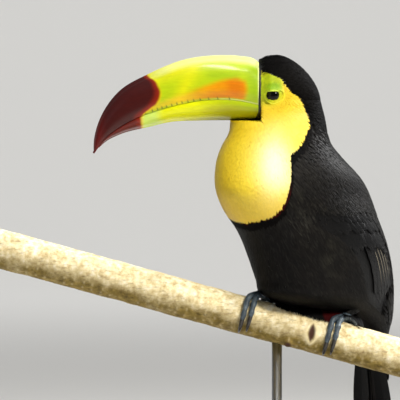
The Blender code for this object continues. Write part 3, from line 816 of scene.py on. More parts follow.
def lids(side):
    """Ring round the eye: off the ball, over the lid's rounded margin, down into the face in fine creases."""
    centre = eye_centre(side)
    turn = full_turn(LID_SIDES)
    beyond, level = np.array(LID_STEPS).T
    wide, over, under = LID_OPENING
    tall = np.where(np.sin(turn) > 0, over, under)
    power = np.where(np.sin(turn) > 0, 3.0, np.where(np.cos(turn) > 0, 1.6, 2.1))
    opening = ((np.abs(np.cos(turn)) / wide) ** power + (np.abs(np.sin(turn)) / tall) ** power) ** (-1 / power)
    reach = opening + beyond[:, None]
    spot = centre + np.stack((reach * np.cos(turn), 0 * reach, reach * np.sin(turn)), axis=-1)
    face = spot.copy()
    half = ring_sizes(spot[..., 2])
    face[..., 1] = HEAD_Y + side * half[3] * np.sqrt(np.maximum(1 - (spot[..., 0] / half[4]) ** 2, 0))
    ball = centre[1] + side * np.sqrt(np.maximum(EYE_RADIUS ** 2 - reach ** 2, 0))
    share = smooth_step(0.2, 1.8, beyond)[:, None]
    spot[..., 1] = ball * (1 - share) + face[..., 1] * share + side * level[:, None]
    brow = 0.35 * bell(beyond, 1.4, 1.2)[:, None] * np.maximum(np.sin(turn), 0)
    creases = 0.05 * np.sin(turn * 23 + beyond[:, None] * 5) * smooth_step(0.5, 2, beyond)[:, None]
    spot[..., 1] += side * (brow + creases)
    angle, _ = ring_place(spot)
    tone = markings(angle, spot[..., 2])
    spot[..., 1] -= side * coat_depth(angle, spot[..., 2]) * smooth_step(1.5, 4.4, beyond)[:, None]
    spot = face_to_bill(spot)
    rim = bell(beyond, 0.5, 0.9)[:, None] * np.ones_like(turn)
    margin = smooth_step(0.12, -0.12, beyond)[:, None] * np.ones_like(turn)
    tone = layered(tone, (LID_GREEN, 0.75 * rim), (LID_MARGIN, margin))
    faces = faces_of(*reach.shape)
    return spot.reshape(-1, 3), [faces if side > 0 else faces[:, ::-1]], tone.reshape(-1, 4)


def toe_path(place, side, shift, wrap, share):
    """Toe's centre line: from the hub it shifts along the perch and wraps round it, its pad on the bark."""
    radius = TOE_RADIUS[0] + (TOE_RADIUS[1] - TOE_RADIUS[0]) * share
    lifted = 1.6 * (1 - share) ** 3
    moved = shift * np.sin(0.5 * np.pi * np.minimum(1, share / 0.45))
    return perch_point(place + moved, side * wrap * share, PERCH_RADIUS + radius + 0.5 - TOE_SINK + lifted)


def toe(place, side, shift, wrap):
    """Tube with a swelling at each joint, scutes across its back and pads under it, tapering to the claw."""
    share = np.linspace(0, 1, TOE_RINGS)
    path = toe_path(place, side, shift, wrap, share)
    turn = full_turn(TOE_SIDES)
    radius = TOE_RADIUS[0] + (TOE_RADIUS[1] - TOE_RADIUS[0]) * share
    for joint in (0.3, 0.58, 0.84):
        radius = radius + 0.32 * bell(share, joint, 0.055)
        radius = radius - 0.16 * bell(share - joint, 0.14, 0.06)
    plate = (share * 15) % 1
    back = np.maximum(-np.sin(turn) * side, 0) ** 0.7
    under = np.maximum(np.sin(turn) * side, 0)
    step = 0.22 * (plate ** 1.5 - 0.5) - 0.16 * bell(plate, 0.02, 0.08)
    rings = radius[:, None] * (1 - 0.1 * under) + step[:, None] * back
    rings = rings + 0.1 * np.cos(share * 2 * np.pi * 19)[:, None] * under
    rings[-1] *= 0.72
    rings[-2] *= 0.93
    rows = tube(path, rings, TOE_SIDES, PERCH_AXIS)
    return closed_shell(rows, path[0], path[-1])


def shank(hub):
    """Tarsus from inside the hub up and back into the belly, ringed by scutes on its front."""
    share = np.linspace(0, 1, SHANK_RINGS)
    path = hub + TARSUS_HEADING * (TARSUS_LENGTH + 6) * share[:, None]
    plate = (share * 11) % 1
    radii = 2.9 + 0.5 * share + 0.9 * (1 - share) ** 6
    rings = radii[:, None] + (0.2 * plate ** 1.5 - 0.12)[:, None] * np.ones(SHANK_SIDES)
    return closed_shell(tube(path, rings, SHANK_SIDES, np.array((0, 0, 1.0))), path[0], path[-1])


def hub_ball(hub):
    """Flattened ball where the toes meet, with low scutes."""
    rise = np.linspace(-np.pi / 2, np.pi / 2, HUB_RINGS)[1:-1]
    turn = full_turn(HUB_SIDES)
    ball = np.stack((
        np.cos(rise)[:, None] * np.cos(turn), np.cos(rise)[:, None] * np.sin(turn),
        np.sin(rise)[:, None] * np.ones(HUB_SIDES)), axis=-1)
    bulge = 1 + 0.035 * np.sin(turn * 9) * np.sin(rise * 9)[:, None]
    rows = hub + ball * HUB_RADII * bulge[..., None]
    return closed_shell(rows, hub - (0, 0, HUB_RADII[2]), hub + (0, 0, HUB_RADII[2]))


crown_z = CROWN_BASE + (CROWN_TOP - CROWN_BASE) * np.sin(np.radians(np.linspace(0, 86, 66)))
skin_z = np.concatenate((
    np.linspace(*TAIL_STUB, 9)[:-1], np.linspace(TAIL_STUB[1], 335, 128),
    np.linspace(335.6, 353.4, 32), crown_z))
angle, z = np.meshgrid(np.linspace(-np.pi, np.pi, SKIN_COLUMNS, endpoint=False), skin_z)
form = body_point(angle, z)
rows = form - body_normal(angle, z) * coat_depth(angle, z)[..., None]
stub = np.clip((z - TAIL_STUB[0]) / (TAIL_STUB[1] - TAIL_STUB[0]), 0, 1)
ring_middle = rows.mean(axis=1, keepdims=True)
rows = ring_middle + (rows - ring_middle) * (0.35 + 0.65 * np.sqrt(1 - (1 - stub) ** 2))[..., None]
bare = smooth_step(1.5, 0.8, np.hypot((form[..., 0] - EYE_X + 4) / 11, (z - EYE_Z - 5) / 12.5))
papillae = 0.1 * noise(form, 0.9, 21) + 0.12 * noise(form, 2.4, 22)
rows = rows + body_normal(angle, z) * (papillae * bare)[..., None]
rows = face_to_bill(off_perch(rows, 3.0, FOOT_ROOM))
points, faces = closed_shell(rows, ring_middle[0, 0], (0, HEAD_Y, CROWN_TOP - 1.8))
by_bill = smooth_step(BILL_BASE + 1.4, BILL_BASE + 0.9, form[..., 0]) * (z > GONYS_BASE)
tone = blend_in(markings(angle, z), BILL_SHADE, by_bill)
tone = np.concatenate((tone.reshape(-1, 4), tone[:1, 0], tone[-1:, 0]))
parts = [(points, faces, tone, 0)]
for side in (-1, 1):
    parts.append((*lids(side), 0))
for place, hub in zip(FOOT_PLACES.values(), FOOT_HUBS):
    shells = [toe(place, *values) for values in TOES.values()] + [shank(hub), hub_ball(hub)]
    parts += [(points, faces, flat(1, len(points)), 1) for points, faces in shells]

# Bird skin: waxy and a little see-through, with papillae about 0.8 mm apart.
finish = Finish("bare_bird_skin")
shade = finish.span(finish.noise(3, 3.0), 0.84, 1.08, 0.3, 0.7)
bird_skin = finish.shader(
    Base_Color=finish.shaded(finish.attribute("plumage", "Color"), shade), Roughness=0.5,
    Specular_IOR_Level=0.3, Subsurface_Weight=0.15, Subsurface_Radius=(1.0, 0.5, 0.2),
    Subsurface_Scale=0.6 * MM, Normal=finish.bump(finish.cells(0.8), 0.5, 0.2, invert=True))

# Scaled toe skin: dry blue-grey scutes with darker, duller creases between them.
finish = Finish("scaled_toe_skin")
grey = finish.ramp(finish.noise(4, 3.0), (0.3, "#232E38"), (0.55, "#3F4E5B"), (0.75, "#66747E"))
crease = finish.span(finish.cells(1.3, "DISTANCE_TO_EDGE"), 0.45, high=0.12)
toe_skin = finish.shader(
    Base_Color=finish.shaded(grey, crease), Roughness=0.48, Normal=finish.bump(crease, 0.4, 0.15))

starts = np.cumsum([0] + [len(part[0]) for part in parts])
faces = [face + start for part, start in zip(parts, starts) for face in part[1]]
finish_index = np.concatenate([np.full(len(face), part[3]) for part in parts for face in part[1]])
skin = new_piece(
    "skin", np.concatenate([part[0] for part in parts]), faces, [bird_skin, toe_skin], finish_index,
    plumage=np.concatenate([part[2] for part in parts]))
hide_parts("head", "neck", "trunk", "leg_left", "leg_right", "foot_left", "foot_right")
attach(skin, "root")

# Claws: curved keratin sheaths, black and polished by use, each grown over the end of its toe.
CLAW_WRAP = 46
CLAW_RADIUS = 1.9
CLAW_RINGS, CLAW_SIDES = 36, 24

finish = Finish("claw_keratin")
streak = finish.noise(1.2, 3.0)
claw_keratin = finish.shader(
    Base_Color=finish.ramp(streak, (0.35, "#0E0D0D"), (0.7, "#35302C")),
    Roughness=finish.span(streak, 0.2, 0.42))

for foot, place in FOOT_PLACES.items():
    for toe_name, (side, shift, wrap) in TOES.items():
        share = np.linspace(0, 1, CLAW_RINGS)
        radius = CLAW_RADIUS * (1 - share ** 1.7) ** 0.8 + 0.12
        lifted = 0.4 - TOE_SINK * (1 - share) + 0.5 * np.sin(np.pi * share)
        wrapped = side * (wrap - 3 + (CLAW_WRAP + 3) * share)
        path = perch_point(place + shift, wrapped, PERCH_RADIUS + radius + lifted)
        rings = radius[:, None] * (1 - 0.16 * np.cos(2 * full_turn(CLAW_SIDES)))
        points, faces = closed_shell(tube(path, rings, CLAW_SIDES, PERCH_AXIS), path[0], path[-1])
        claw = new_piece(f"nail_{toe_name}_{foot}", points, faces, [claw_keratin])
        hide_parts(f"claw_{toe_name}_{foot}")
        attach(claw, "root")

# ---------------------------------------------------------------------------------------------
# Eyes: glass eyes as a taxidermist sets them, black pupil in a dark olive iris under a clear
# polished dome. Each sits in its lids as deep as a live eye does.

EYE_RINGS, EYE_SIDES = 62, 72

finish = Finish("polished_glass_eye")
iris = finish.ramp(
    finish.math_of("MULTIPLY_ADD", finish.noise(0.5), 0.04, finish.attribute("gaze", "Fac")),
    (0.0, "#030303"), (0.27, "#030303"), (0.31, "#1A1C0A"), (0.42, "#242610"), (0.5, "#0C0D06"),
    (0.56, "#040404"))
glass_eye = finish.shader(
    Base_Color=iris, Roughness=0.08, Specular_IOR_Level=0.15, Coat_Weight=0.05, Coat_Roughness=0.02)

for name, side in (("left", -1), ("right", 1)):
    off = np.linspace(0, np.pi, EYE_RINGS)[1:-1, None]
    turn = full_turn(EYE_SIDES)
    bulge = EYE_RADIUS + 0.22 * bell(off, 0, 0.55, 4)
    rows = eye_centre(side) + np.stack((
        bulge * np.sin(off) * np.cos(turn), side * bulge * np.cos(off) * np.ones_like(turn),
        bulge * np.sin(off) * np.sin(turn)), axis=-1)
    front = eye_centre(side) + (0, side * bulge[0, 0], 0)
    points, faces = closed_shell(rows, front, eye_centre(side) - (0, side * EYE_RADIUS, 0))
    gaze = np.concatenate(((off / np.pi * 2 + 0 * turn).ravel(), (0, 2)))
    eye = new_piece(f"glass_eye_{name}", points, faces, [glass_eye], gaze=gaze)
    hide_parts(f"eye_{name}")
    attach(eye, "root")

# ---------------------------------------------------------------------------------------------
# Bill: two hollow mandibles sheathed in thin horn, shut on each other, with a keeled ridge and
# a toothed biting edge. The horn is lime, yellow and orange with a dark red tip.

CULMEN = (
    (-14, 382.5), (-19, 385.8), (-28, 387.4), (-48, 388.0), (-72, 384.8), (-99, 374.1), (-122.5, 360.4),
    (-136.0, 342.0), (-142.0, 322.0),
)
TOMIUM = ((-14, 349.4), (-32, 353.0), (-56, 353.0), (-87, 346.8), (-118, 334.9), (-133, 324.0))
GONYS = ((-14, 338.3), (-60, 338.3), (-84, 337.0), (-99, 333.5), (-122.5, 327.4), (-134, 321.4))
UPPER_TIP = (-142.2, 312.0)
LOWER_TIP = (-138.8, 317.0)
BILL_HALF_WIDTH = ((0.0, 18.0), (0.12, 17.6), (0.35, 15.8), (0.6, 12.4), (0.8, 8.6), (0.93, 5.0), (1.0, 1.6))
BITE_GAP = 0.15
TEETH = (
    -37, -46, -53, -59.5, -64.5, -69, -73.5, -77.5, -81.5, -85.5, -89, -92.5, -96.5, -102, -108, -114.5, -120,
)
RED_EDGE = (                        # where the red tip begins, as (height, x) on the upper and lower mandible
    (376, -103.0), (371, -99.1), (368.2, -95.2), (363.6, -92.6), (358.1, -91.3), (353.4, -92.6),
    (349.5, -95.2), (346.4, -99.1), (342.9, -104.0), (336, -105.5), (326, -104.5),
)
ORANGE_TOP = (
    (-24, 367.5), (-29, 370), (-37, 370.2), (-48, 367.5), (-56, 365), (-64, 362), (-72, 358.5), (-83.5, 355),
    (-96, 349),
)

HORN_LIME = linear("#AAC010")
HORN_GREEN = linear("#84A818")
HORN_YELLOW = linear("#DAD406")
HORN_ORANGE = linear("#C87000")
HORN_AMBER = linear("#EDB800")
HORN_RED = linear("#84200A")
HORN_MAROON = linear("#3C0C0A")
HORN_PALE_AND_HIGHLIGHT = linear("#E9EFA6")
HORN_OLIVE = linear("#A3A40A")
HORN_TOOTH = linear("#3A4008")
HORN_BRIGHT = linear("#DCE000")
HORN_GREENISH = linear("#C3DE6A")
HORN_PAINTED_UNDERSIDE_SHADE = linear("#5A5E10")
HORN_TIP = linear("#6A0C06")
HORN_LOWER_TIP = linear("#64160A")


def outline(points, count):
    """`count` points spaced evenly along a smooth line through (x, z) points."""
    points = np.array(points, dtype=float)
    steps = np.concatenate(([0], np.cumsum(np.hypot(*np.diff(points, axis=0).T))))
    fine = np.linspace(0, steps[-1], 400)
    x = curve(list(zip(steps, points[:, 0])), fine)
    z = curve(list(zip(steps, points[:, 1])), fine)
    walked = np.concatenate(([0], np.cumsum(np.hypot(np.diff(x), np.diff(z)))))
    even = np.linspace(0, walked[-1], count)
    return np.stack((np.interp(even, walked, x), np.interp(even, walked, z)), axis=1)


def red_tip(tone, point, wobble):
    """The tip's dark red, with a brighter red fringe along its rounded rear edge."""
    x, z = point[..., 0], point[..., 2]
    behind = x - curve(RED_EDGE, z) + 0.5 * wobble
    low = smooth_step(364, 350, z)
    return layered(
        tone,
        (HORN_AMBER, (0.3 + 0.4 * low) * smooth_step(3.0, 0.0, behind)),
        (HORN_RED, smooth_step(1.6, -1.0, behind)),
        (HORN_MAROON, smooth_step(-0.4, -6.0 - 2.0 * low, behind)),
        (HORN_TIP, 0.7 * smooth_step(-131, -141, x)),
    )


def upper_tone(point, across, low_z):
    """Upper mandible: lime, yellower along the ridge's fall, an orange flash over the biting edge, red tip;
    the ridge's pale band is partly pale horn and partly painted highlight, and the pale line on the root's rim
    is painted highlight.
    """
    x, z = point[..., 0], point[..., 2]
    cloud, fine = noise(point, 11, 31), noise(point * (0.35, 1, 1), 1.6, 32)
    by_ridge = 0.6 * smooth_step(-60, -50, x) * smooth_step(-24, -34, x) * bell(z, 372.5, 3.4)
    diagonal = x + 70 - 0.35 * (z - 366)
    under_top = curve(ORANGE_TOP, x) - z + 0.7 * fine
    ended = -23.3 - x - 0.035 * (z - 361.5) ** 2
    flash = smooth_step(-2.5, 3.5, np.minimum(under_top, ended)) * smooth_step(0.3, 2.4, z - low_z)
    heat = smooth_step(-84, -46, x)
    orange = blend_in(flat(HORN_AMBER, *x.shape), HORN_ORANGE, heat * (0.85 + 0.25 * cloud))
    tone = layered(
        flat(HORN_LIME, *x.shape),
        (HORN_GREEN, by_ridge),
        (HORN_GREEN, 0.75 * smooth_step(-30, -17, x) * smooth_step(348, 360, z)),
        (HORN_YELLOW, 0.85 * smooth_step(-64, -76, x) * smooth_step(0.45, 0.9, across)),
        (HORN_YELLOW, 0.8 * bell(diagonal, 0, 6.5)),
        (HORN_LIME, 0.4 * cloud),
        (orange, flash * (0.55 + 0.45 * heat)),
        (HORN_PALE_AND_HIGHLIGHT, 0.5 * smooth_step(1.3, 0.5, z - low_z) * smooth_step(-60, -30, x)),
        # Pale ridge: partly the horn's own pale keel, partly a painted highlight.
        (HORN_PALE_AND_HIGHLIGHT, 0.6 * smooth_step(0.76, 0.92, across) * smooth_step(-106, -84, x)),
        # Pale line along the root's rim: painted highlight.
        (HORN_PALE_AND_HIGHLIGHT, 0.85 * smooth_step(BILL_BASE - 1.5, BILL_BASE - 0.9, x) * smooth_step(346, 351, z)),
    )
    for tooth in TEETH:
        notch = np.exp(-((x - tooth + 0.3 * (z - low_z)) / 0.5) ** 2) * smooth_step(3.0, 1.0, z - low_z)
        tone = blend_in(tone, HORN_TOOTH, 0.8 * notch)
    return red_tip(tone, point, noise(point, 3.5, 33))


def lower_tone(point, across, low_z):
    """Lower mandible: olive by the gape, then yellow, pale green against the red tip, with painted shade along
    its underside towards the root.
    """
    x = point[..., 0]
    cloud = noise(point, 9, 35)
    tone = layered(
        flat(HORN_OLIVE, *x.shape),
        (HORN_LIME, 0.7 * smooth_step(0.5, 0.1, across)),
        (HORN_BRIGHT, smooth_step(-36, -72, x + 3 * cloud)),
        (HORN_GREENISH, 0.9 * smooth_step(-86, -95, x + 2 * cloud)),
        (HORN_GREEN, 0.3 * smooth_step(-40, -16, x)),
    )
    return layered(
        red_tip(tone, point, noise(point, 3.5, 33)),
        (HORN_LOWER_TIP, 0.85 * smooth_step(-108, -112, x)),
        # Painted shade: darker along the underside towards the root.
        (HORN_PAINTED_UNDERSIDE_SHADE, 0.7 * smooth_step(0.8, 1.0, across) * smooth_step(-90, -40, x)),
    )


def mandible(ridge, tip, profile, rows, columns, tone_of, toothed):
    """Rings from one biting edge over the ridge to the other: their width along the bill times the profile.
    The lower one's inner wall stands up inside the upper one, so no light passes between them."""
    low, high = outline((*TOMIUM, tip), rows)[:-1], outline((*ridge, tip), rows)[:-1]
    along = np.arange(rows - 1)[:, None] / (rows - 1)
    across = 0.5 - 0.5 * np.cos(np.linspace(0.12, np.pi, columns))
    across = (across - across[0]) / (across[-1] - across[0])
    reach = high - low
    start = low + BITE_GAP * unit(reach)
    side = start[:, None] + across[:, None] * (high - start)[:, None]
    if toothed:
        notch = sum(0.35 * bell(low[:, 0], tooth, 0.7) for tooth in TEETH)
        side[..., 1] += notch[:, None] * bell(across, 0, 0.03)
    wide = curve(BILL_HALF_WIDTH, along) * curve(profile, across)
    groove = 0.35 * bell(across, 0.93, 0.025) * smooth_step(1, 0.8, along)
    edge = 0.22 * bell(across, 0, 0.03)
    wide = np.maximum(wide - (groove + edge) * smooth_step(1.5, 6, wide), 0.15)
    arc = np.linspace(0, np.pi / 2, 5)[1:]
    lift = 0.45 * np.sin(arc)[:, None] * unit(reach)[:, None]
    ridge_side = high[:, None] + lift
    ridge_wide = wide[:, -1:] * np.cos(arc)
    inner_rise = np.array((0.5, 1.5) if toothed else (-0.8, -1.4))
    inner_side = side[:, :1] + inner_rise[:, None] * unit(reach)[:, None]
    inner_wide = wide[:, :1] * ((0.93, 0.4) if toothed else (0.8, 0.4))
    line = np.concatenate((inner_side[:, ::-1], side, ridge_side), axis=1)
    half = np.concatenate((inner_wide[:, ::-1], wide, ridge_wide), axis=1)
    level = np.concatenate((np.zeros(2), across, np.ones(len(arc))))
    near = np.stack((line[..., 0], HEAD_Y - half, line[..., 1]), axis=-1)
    far = np.stack((line[..., 0], HEAD_Y + half, line[..., 1]), axis=-1)[:, -2::-1]
    rings = np.concatenate((near, far), axis=1)
    level = np.concatenate((level, level[-2::-1]))
    low_z = np.repeat(start[:, 1:], rings.shape[1], axis=1)
    tone = tone_of(rings, np.broadcast_to(level, low_z.shape), low_z)
    tone = np.concatenate((tone.reshape(-1, 4), tone[0, :1], tone[-1, :1]))
    first = rings[0].mean(axis=0)
    return (*closed_shell(rings, first, (tip[0], HEAD_Y, tip[1])), tone)


# Bill horn: keratin over bone, smooth and half glossy, with faint growth streaks along it and fine scratches.
finish = Finish("bill_keratin")
along_bill = finish.mapped((0.16, 1.0, 1.0), (0, 0.12, 0))
streak = finish.noise(1.6, 5.0, 0.6, along_bill)
shade = finish.span(streak, 0.88, 1.08, 0.25, 0.75)
dull = finish.math_of("MULTIPLY_ADD", finish.noise(12, 4.0), 0.16, 0.28)
dull = finish.math_of("MULTIPLY_ADD", finish.noise(0.5, at=along_bill), 0.12, dull)
bill_horn = finish.shader(
    Base_Color=finish.shaded(finish.attribute("horn", "Color"), shade), Roughness=dull,
    Specular_IOR_Level=0.12, Coat_Weight=0.4, Coat_Roughness=0.19, Subsurface_Weight=0.08,
    Subsurface_Radius=(1.0, 0.6, 0.2), Subsurface_Scale=1.5 * MM, Normal=finish.bump(streak, 0.05, 0.2))

MANDIBLES = (
    # CAD node, piece, ridge, tip, profile, rings, columns a side, colours, toothed
    ("bill_upper", "upper_mandible", CULMEN, UPPER_TIP, UPPER_PROFILE, 330, 62, upper_tone, True),
    ("bill_lower", "lower_mandible", GONYS, LOWER_TIP, LOWER_PROFILE, 300, 34, lower_tone, False),
)
for node, name, *shape in MANDIBLES:
    points, faces, tone = mandible(*shape)
    horn = new_piece(name, points, faces, [bill_horn], horn=tone)
    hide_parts(node)
    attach(horn, "root")

# Basal band: the narrow black welt where horn meets face, running right round the bill's root.
finish = Finish("black_welt_skin")
grit = finish.noise(1, 3.0)
welt_skin = finish.shader(
    Base_Color=finish.ramp(grit, (0.35, "#070806"), (0.7, "#1C1D12")), Roughness=0.5,
    Normal=finish.bump(grit, 0.4, 0.15))

WELT_X = BILL_BASE + 0.2
WELT_SIDES = 12

height = GONYS_BASE + (CULMEN_BASE - GONYS_BASE) * (0.5 - 0.5 * np.cos(np.linspace(0.16, np.pi - 0.1, 90)))
lean = 2.6 * smooth_step(GONYS_BASE + 9, GONYS_BASE, height) ** 2
path = np.stack((WELT_X - lean, HEAD_Y - bill_root_half(height) - 0.05, height), axis=-1)
path = np.concatenate((path, (path * (1, -1, 1) + (0, 2 * HEAD_Y, 0))[::-1]))
before, after = np.roll(path, 1, axis=0), np.roll(path, -1, axis=0)
outward = unit(np.cross(unit(after - before), (1.0, 0, 0)))
turn = full_turn(WELT_SIDES)[:, None]
swell = np.interp(path[:, 2], (GONYS_BASE, 352, 366, CULMEN_BASE), (1.0, 0.85, 0.65, 0.6))[:, None, None]
section = 1.15 * np.cos(turn) * np.array((1.0, 0, 0)) + 0.55 * np.sin(turn) * outward[:, None]
rows = path[:, None] + swell * section
faces = faces_of(len(rows) + 1, WELT_SIDES) % (len(rows) * WELT_SIDES)
welt = new_piece("basal_welt", rows.reshape(-1, 3), [faces], [welt_skin])
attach(welt, "root")

# ---------------------------------------------------------------------------------------------
# Plumage: feathers laid from the bill backwards and down, each a thin curved vane rooted in the
# skin with its tip on the form. Hair-like on the face, silky on the bib, broad on the body.

BILL_ROOT = np.array((-75.0, HEAD_Y, 352.0))
BODY_LIE = np.array((0.468, 0.421, -0.777))
BIB_LIE = np.array((0.12, 0.1, -0.98))
COVERT_LIE = np.array((0.08, 0.07, -0.99))
HEM_ROOM = 1.5                      # the belly's feathers hang this much clear of the feet
PATCH = 0.003                       # each feather's place on the OFBake unwrap is this big
STIFF_VANE = (-1, -0.86, -0.5, -0.08, 0.08, 0.5, 0.86, 1.0)     # columns across a vane with edges and a shaft
UNWRAP_LOW, UNWRAP_HIGH = 100.0, 420.0
SCATTER_ROWS, SCATTER_COLUMNS = 360, 480
BARB_SPACING = 0.6                  # drawn coarser than the real 0.3 mm, to show
GOLDEN_SHARE = 0.6180339887
GOLDEN_TURN = 2.399963
BARB_GLOSS = linear("#2C2B27")
HEM_RED = linear("#34080A")
WORN_EDGE = linear("#9A917E")
TAIL_EDGE = linear("#24201E")
chance = np.random.default_rng(11)


def crown_height(walk):
    """Height at a distance walked up the body, which bends over into an arc on the crown."""
    arc = np.clip((walk - CROWN_BASE) / (CROWN_TOP - CROWN_BASE), 0, np.pi / 2)
    return np.where(walk > CROWN_BASE, CROWN_BASE + (CROWN_TOP - CROWN_BASE) * np.sin(arc), walk)


def crown_walk(z):
    """The distance walked up the body to a height: crown_height turned round."""
    arc = np.arcsin(np.clip((z - CROWN_BASE) / (CROWN_TOP - CROWN_BASE), 0, 1))
    return np.where(z > CROWN_BASE, CROWN_BASE + (CROWN_TOP - CROWN_BASE) * arc, z)


def scatter(density, low, high):
    """Roots' angles and heights, that many per mm²: a golden-ratio lattice stretched to equal shares."""
    angle, walks = np.meshgrid(
        np.linspace(-np.pi, np.pi, SCATTER_COLUMNS + 1), np.linspace(low, high, SCATTER_ROWS + 1))
    z = crown_height(walks)
    corner = body_point(angle, z)
    across, up = np.diff(corner, axis=1)[:-1], np.diff(corner, axis=0)[:, :-1]
    area = np.linalg.norm(np.cross(across, up), axis=-1)
    weight = area * density(angle[:-1, :-1] + np.pi / SCATTER_COLUMNS, z[:-1, :-1]) + 1e-9
    by_row = weight.sum(axis=1)
    count = int(by_row.sum())
    row_at = np.interp(
        (np.arange(count) + 0.5) / count * by_row.sum(), np.cumsum([0, *by_row]), np.arange(SCATTER_ROWS + 1))
    row = np.minimum(row_at.astype(int), SCATTER_ROWS - 1)
    filled = np.cumsum(weight, axis=1) / by_row[:, None]
    aim = (np.arange(count) * GOLDEN_SHARE + 0.31) % 1
    shares = (filled + np.arange(SCATTER_ROWS)[:, None]).ravel()
    column = np.searchsorted(shares, aim + row) - row * SCATTER_COLUMNS
    column = np.clip(column, 0, SCATTER_COLUMNS - 1)
    before = np.where(column > 0, filled[row, column - 1], 0)
    part = (aim - before) / np.maximum(filled[row, column] - before, 1e-9)
    angle = -np.pi + (column + np.clip(part, 0, 1)) * np.pi / (SCATTER_COLUMNS / 2)
    return angle, crown_height(low + row_at * (high - low) / SCATTER_ROWS)


def lie(roots, length, steps, swerve, body_lie=BODY_LIE):
    """Centre lines on the form, and its normals: away from the bill on the head, down and back elsewhere."""
    at = onto_body(roots)
    line, normals = [at], [normal_at(at)]
    for _ in range(steps):
        normal = normals[-1]
        share = smooth_step(326, 352, at[:, 2:])
        way = unit(at - BILL_ROOT) * share + body_lie * (1 - share)
        way = unit(way - normal * np.sum(way * normal, axis=1, keepdims=True))
        way = way * np.cos(swerve)[:, None] + np.cross(normal, way) * np.sin(swerve)[:, None]
        at = onto_body(at + way * (length / steps)[:, None])
        line.append(at)
        normals.append(normal_at(at))
    return np.stack(line, axis=1), np.stack(normals, axis=1)


def tip_tone(line, step):
    """Each feather's colour: the marking where its line is at that step."""
    angle, _ = ring_place(line[:, step])
    return markings(angle, line[:, step, 2])


def plumes(name, line, normal, width, rise, tone, columns, finish, tip=2.4, ragged=0.0, camber=0.12,
           tilt=0.0, edge=None, edge_end=(2.0, 1.0), shaft=0.0, hood=0.45, at=None, room=BELLY_ROOM):
    """Vanes: strips across the centre lines. Half width swells from the quill and closes as the root of
    1 - along^tip. The rise drops by camber x half width x across², and the tips fray by `ragged` mm."""
    count, steps = line.shape[:2]
    along = np.linspace(0, 1, steps)
    across = np.linspace(-1, 1, columns) if columns < len(STIFF_VANE) else np.array(STIFF_VANE)
    columns = len(across)
    ahead = unit(np.gradient(line, axis=1))
    aside = unit(np.cross(normal, ahead))
    swell = hood + (1 - hood) * smooth_step(0, 0.45, along)
    half = width[:, None] / 2 * swell * np.sqrt(1.0004 - along ** tip)
    offset = across * half[..., None]
    lifted = rise[..., None] - camber * np.abs(offset) * np.abs(across)
    lifted = lifted + tilt * across * half[..., None] / width.max()
    lifted = lifted + shaft * bell(across, 0, 0.1)
    fray = chance.uniform(-1, 0.3, (count, columns)) * ragged
    fray = fray[:, None] * (along ** 5)[:, None]
    points = (
        line[:, :, None] + aside[:, :, None] * offset[..., None] + normal[:, :, None] * lifted[..., None]
        + ahead[:, :, None] * fray[..., None])
    points = off_perch(points, room, HEM_ROOM) if room is not None else points
    first = np.arange(count)[:, None, None] * steps * columns
    first = first + np.arange(steps - 1)[:, None] * columns + np.arange(columns - 1)
    faces = np.stack((first, first + columns, first + columns + 1, first + 1), axis=-1).reshape(-1, 4)
    tint = chance.uniform(-1, 1, count)
    shape = (count, steps, columns)
    colour = np.broadcast_to(tone[:, None, None], (*shape, 4)).copy()
    if edge is not None:
        trim = smooth_step(0.2, 0.4, along) * smooth_step(*edge_end, along)
        colour = blend_in(colour, edge, (np.abs(across) > 0.9) * trim[:, None] * np.ones(shape))
    length = np.linalg.norm(np.diff(line, axis=1), axis=-1).sum(axis=1)
    vane = np.stack(np.broadcast_arrays(
        offset, along[:, None] * length[:, None, None], tint[:, None, None] + np.zeros(shape)), axis=-1)
    if at is None:
        angle = ring_place(line[:, 0])[0]
        up = (crown_walk(line[:, 0, 2]) - UNWRAP_LOW) / (UNWRAP_HIGH - UNWRAP_LOW)
        at = np.stack((0.5 + angle / 2 / np.pi * 0.98, up), axis=-1)
        spread = np.stack(np.broadcast_arrays(across / 2 * PATCH, (along[:, None] - 0.5) * PATCH), axis=-1)
        uv = at[:, None, None] + spread
    else:
        start, size = at
        spread = np.stack(np.broadcast_arrays(across / 2 + 0.5, along[:, None]), axis=-1)
        uv = start[:, None, None] + spread * size
    made = new_piece(
        name, points.reshape(-1, 3), [faces], [finish], uv=np.broadcast_to(uv, (*shape, 2)).reshape(-1, 2),
        plumage=colour.reshape(-1, 4), vane=vane.reshape(-1, 3))
    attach(made, "root")
    return made


def feather_finish(name, roughness, sheen, barb_depth, vary, glint, coat=0.0):
    """Feather vane: the markings' colour, paler or darker by feather, and barbs slanting off the shaft."""
    finish = Finish(name)
    place = finish.add("SeparateXYZ", Vector=finish.attribute("vane", "Vector"))[0]
    slant = finish.math_of("MULTIPLY_ADD", finish.math_of("ABSOLUTE", (place, 0)), -0.9, (place, 1))
    barb = finish.math_of("SINE", finish.math_of("MULTIPLY", slant, 2 * math.pi / BARB_SPACING))
    clump_at = finish.add("CombineXYZ", X=slant, Y=(place, 2))
    clump = finish.add("TexNoise", Vector=clump_at, Scale=0.9, Detail=2.0)
    shade = finish.math_of("MULTIPLY_ADD", (place, 2), vary, 1.0 - 0.5 * vary)
    shade = finish.math_of("MULTIPLY_ADD", clump, vary, shade)
    shade = finish.math_of("MULTIPLY_ADD", barb, 0.05, shade)
    return finish.shader(
        Base_Color=finish.shaded(finish.attribute("plumage", "Color"), shade), Roughness=roughness,
        Specular_IOR_Level=glint, Sheen_Weight=sheen, Sheen_Roughness=0.4, Coat_Weight=coat,
        Coat_Roughness=0.45, Normal=finish.bump(barb, barb_depth, 0.1))


# Bib and face feathers: yellow, silky and almost without barbules, so they split into fine hairs.
bib_feather = feather_finish("silky_yellow_feather", 0.46, 0.04, 0.08, 0.05, 0.5, 0.35)
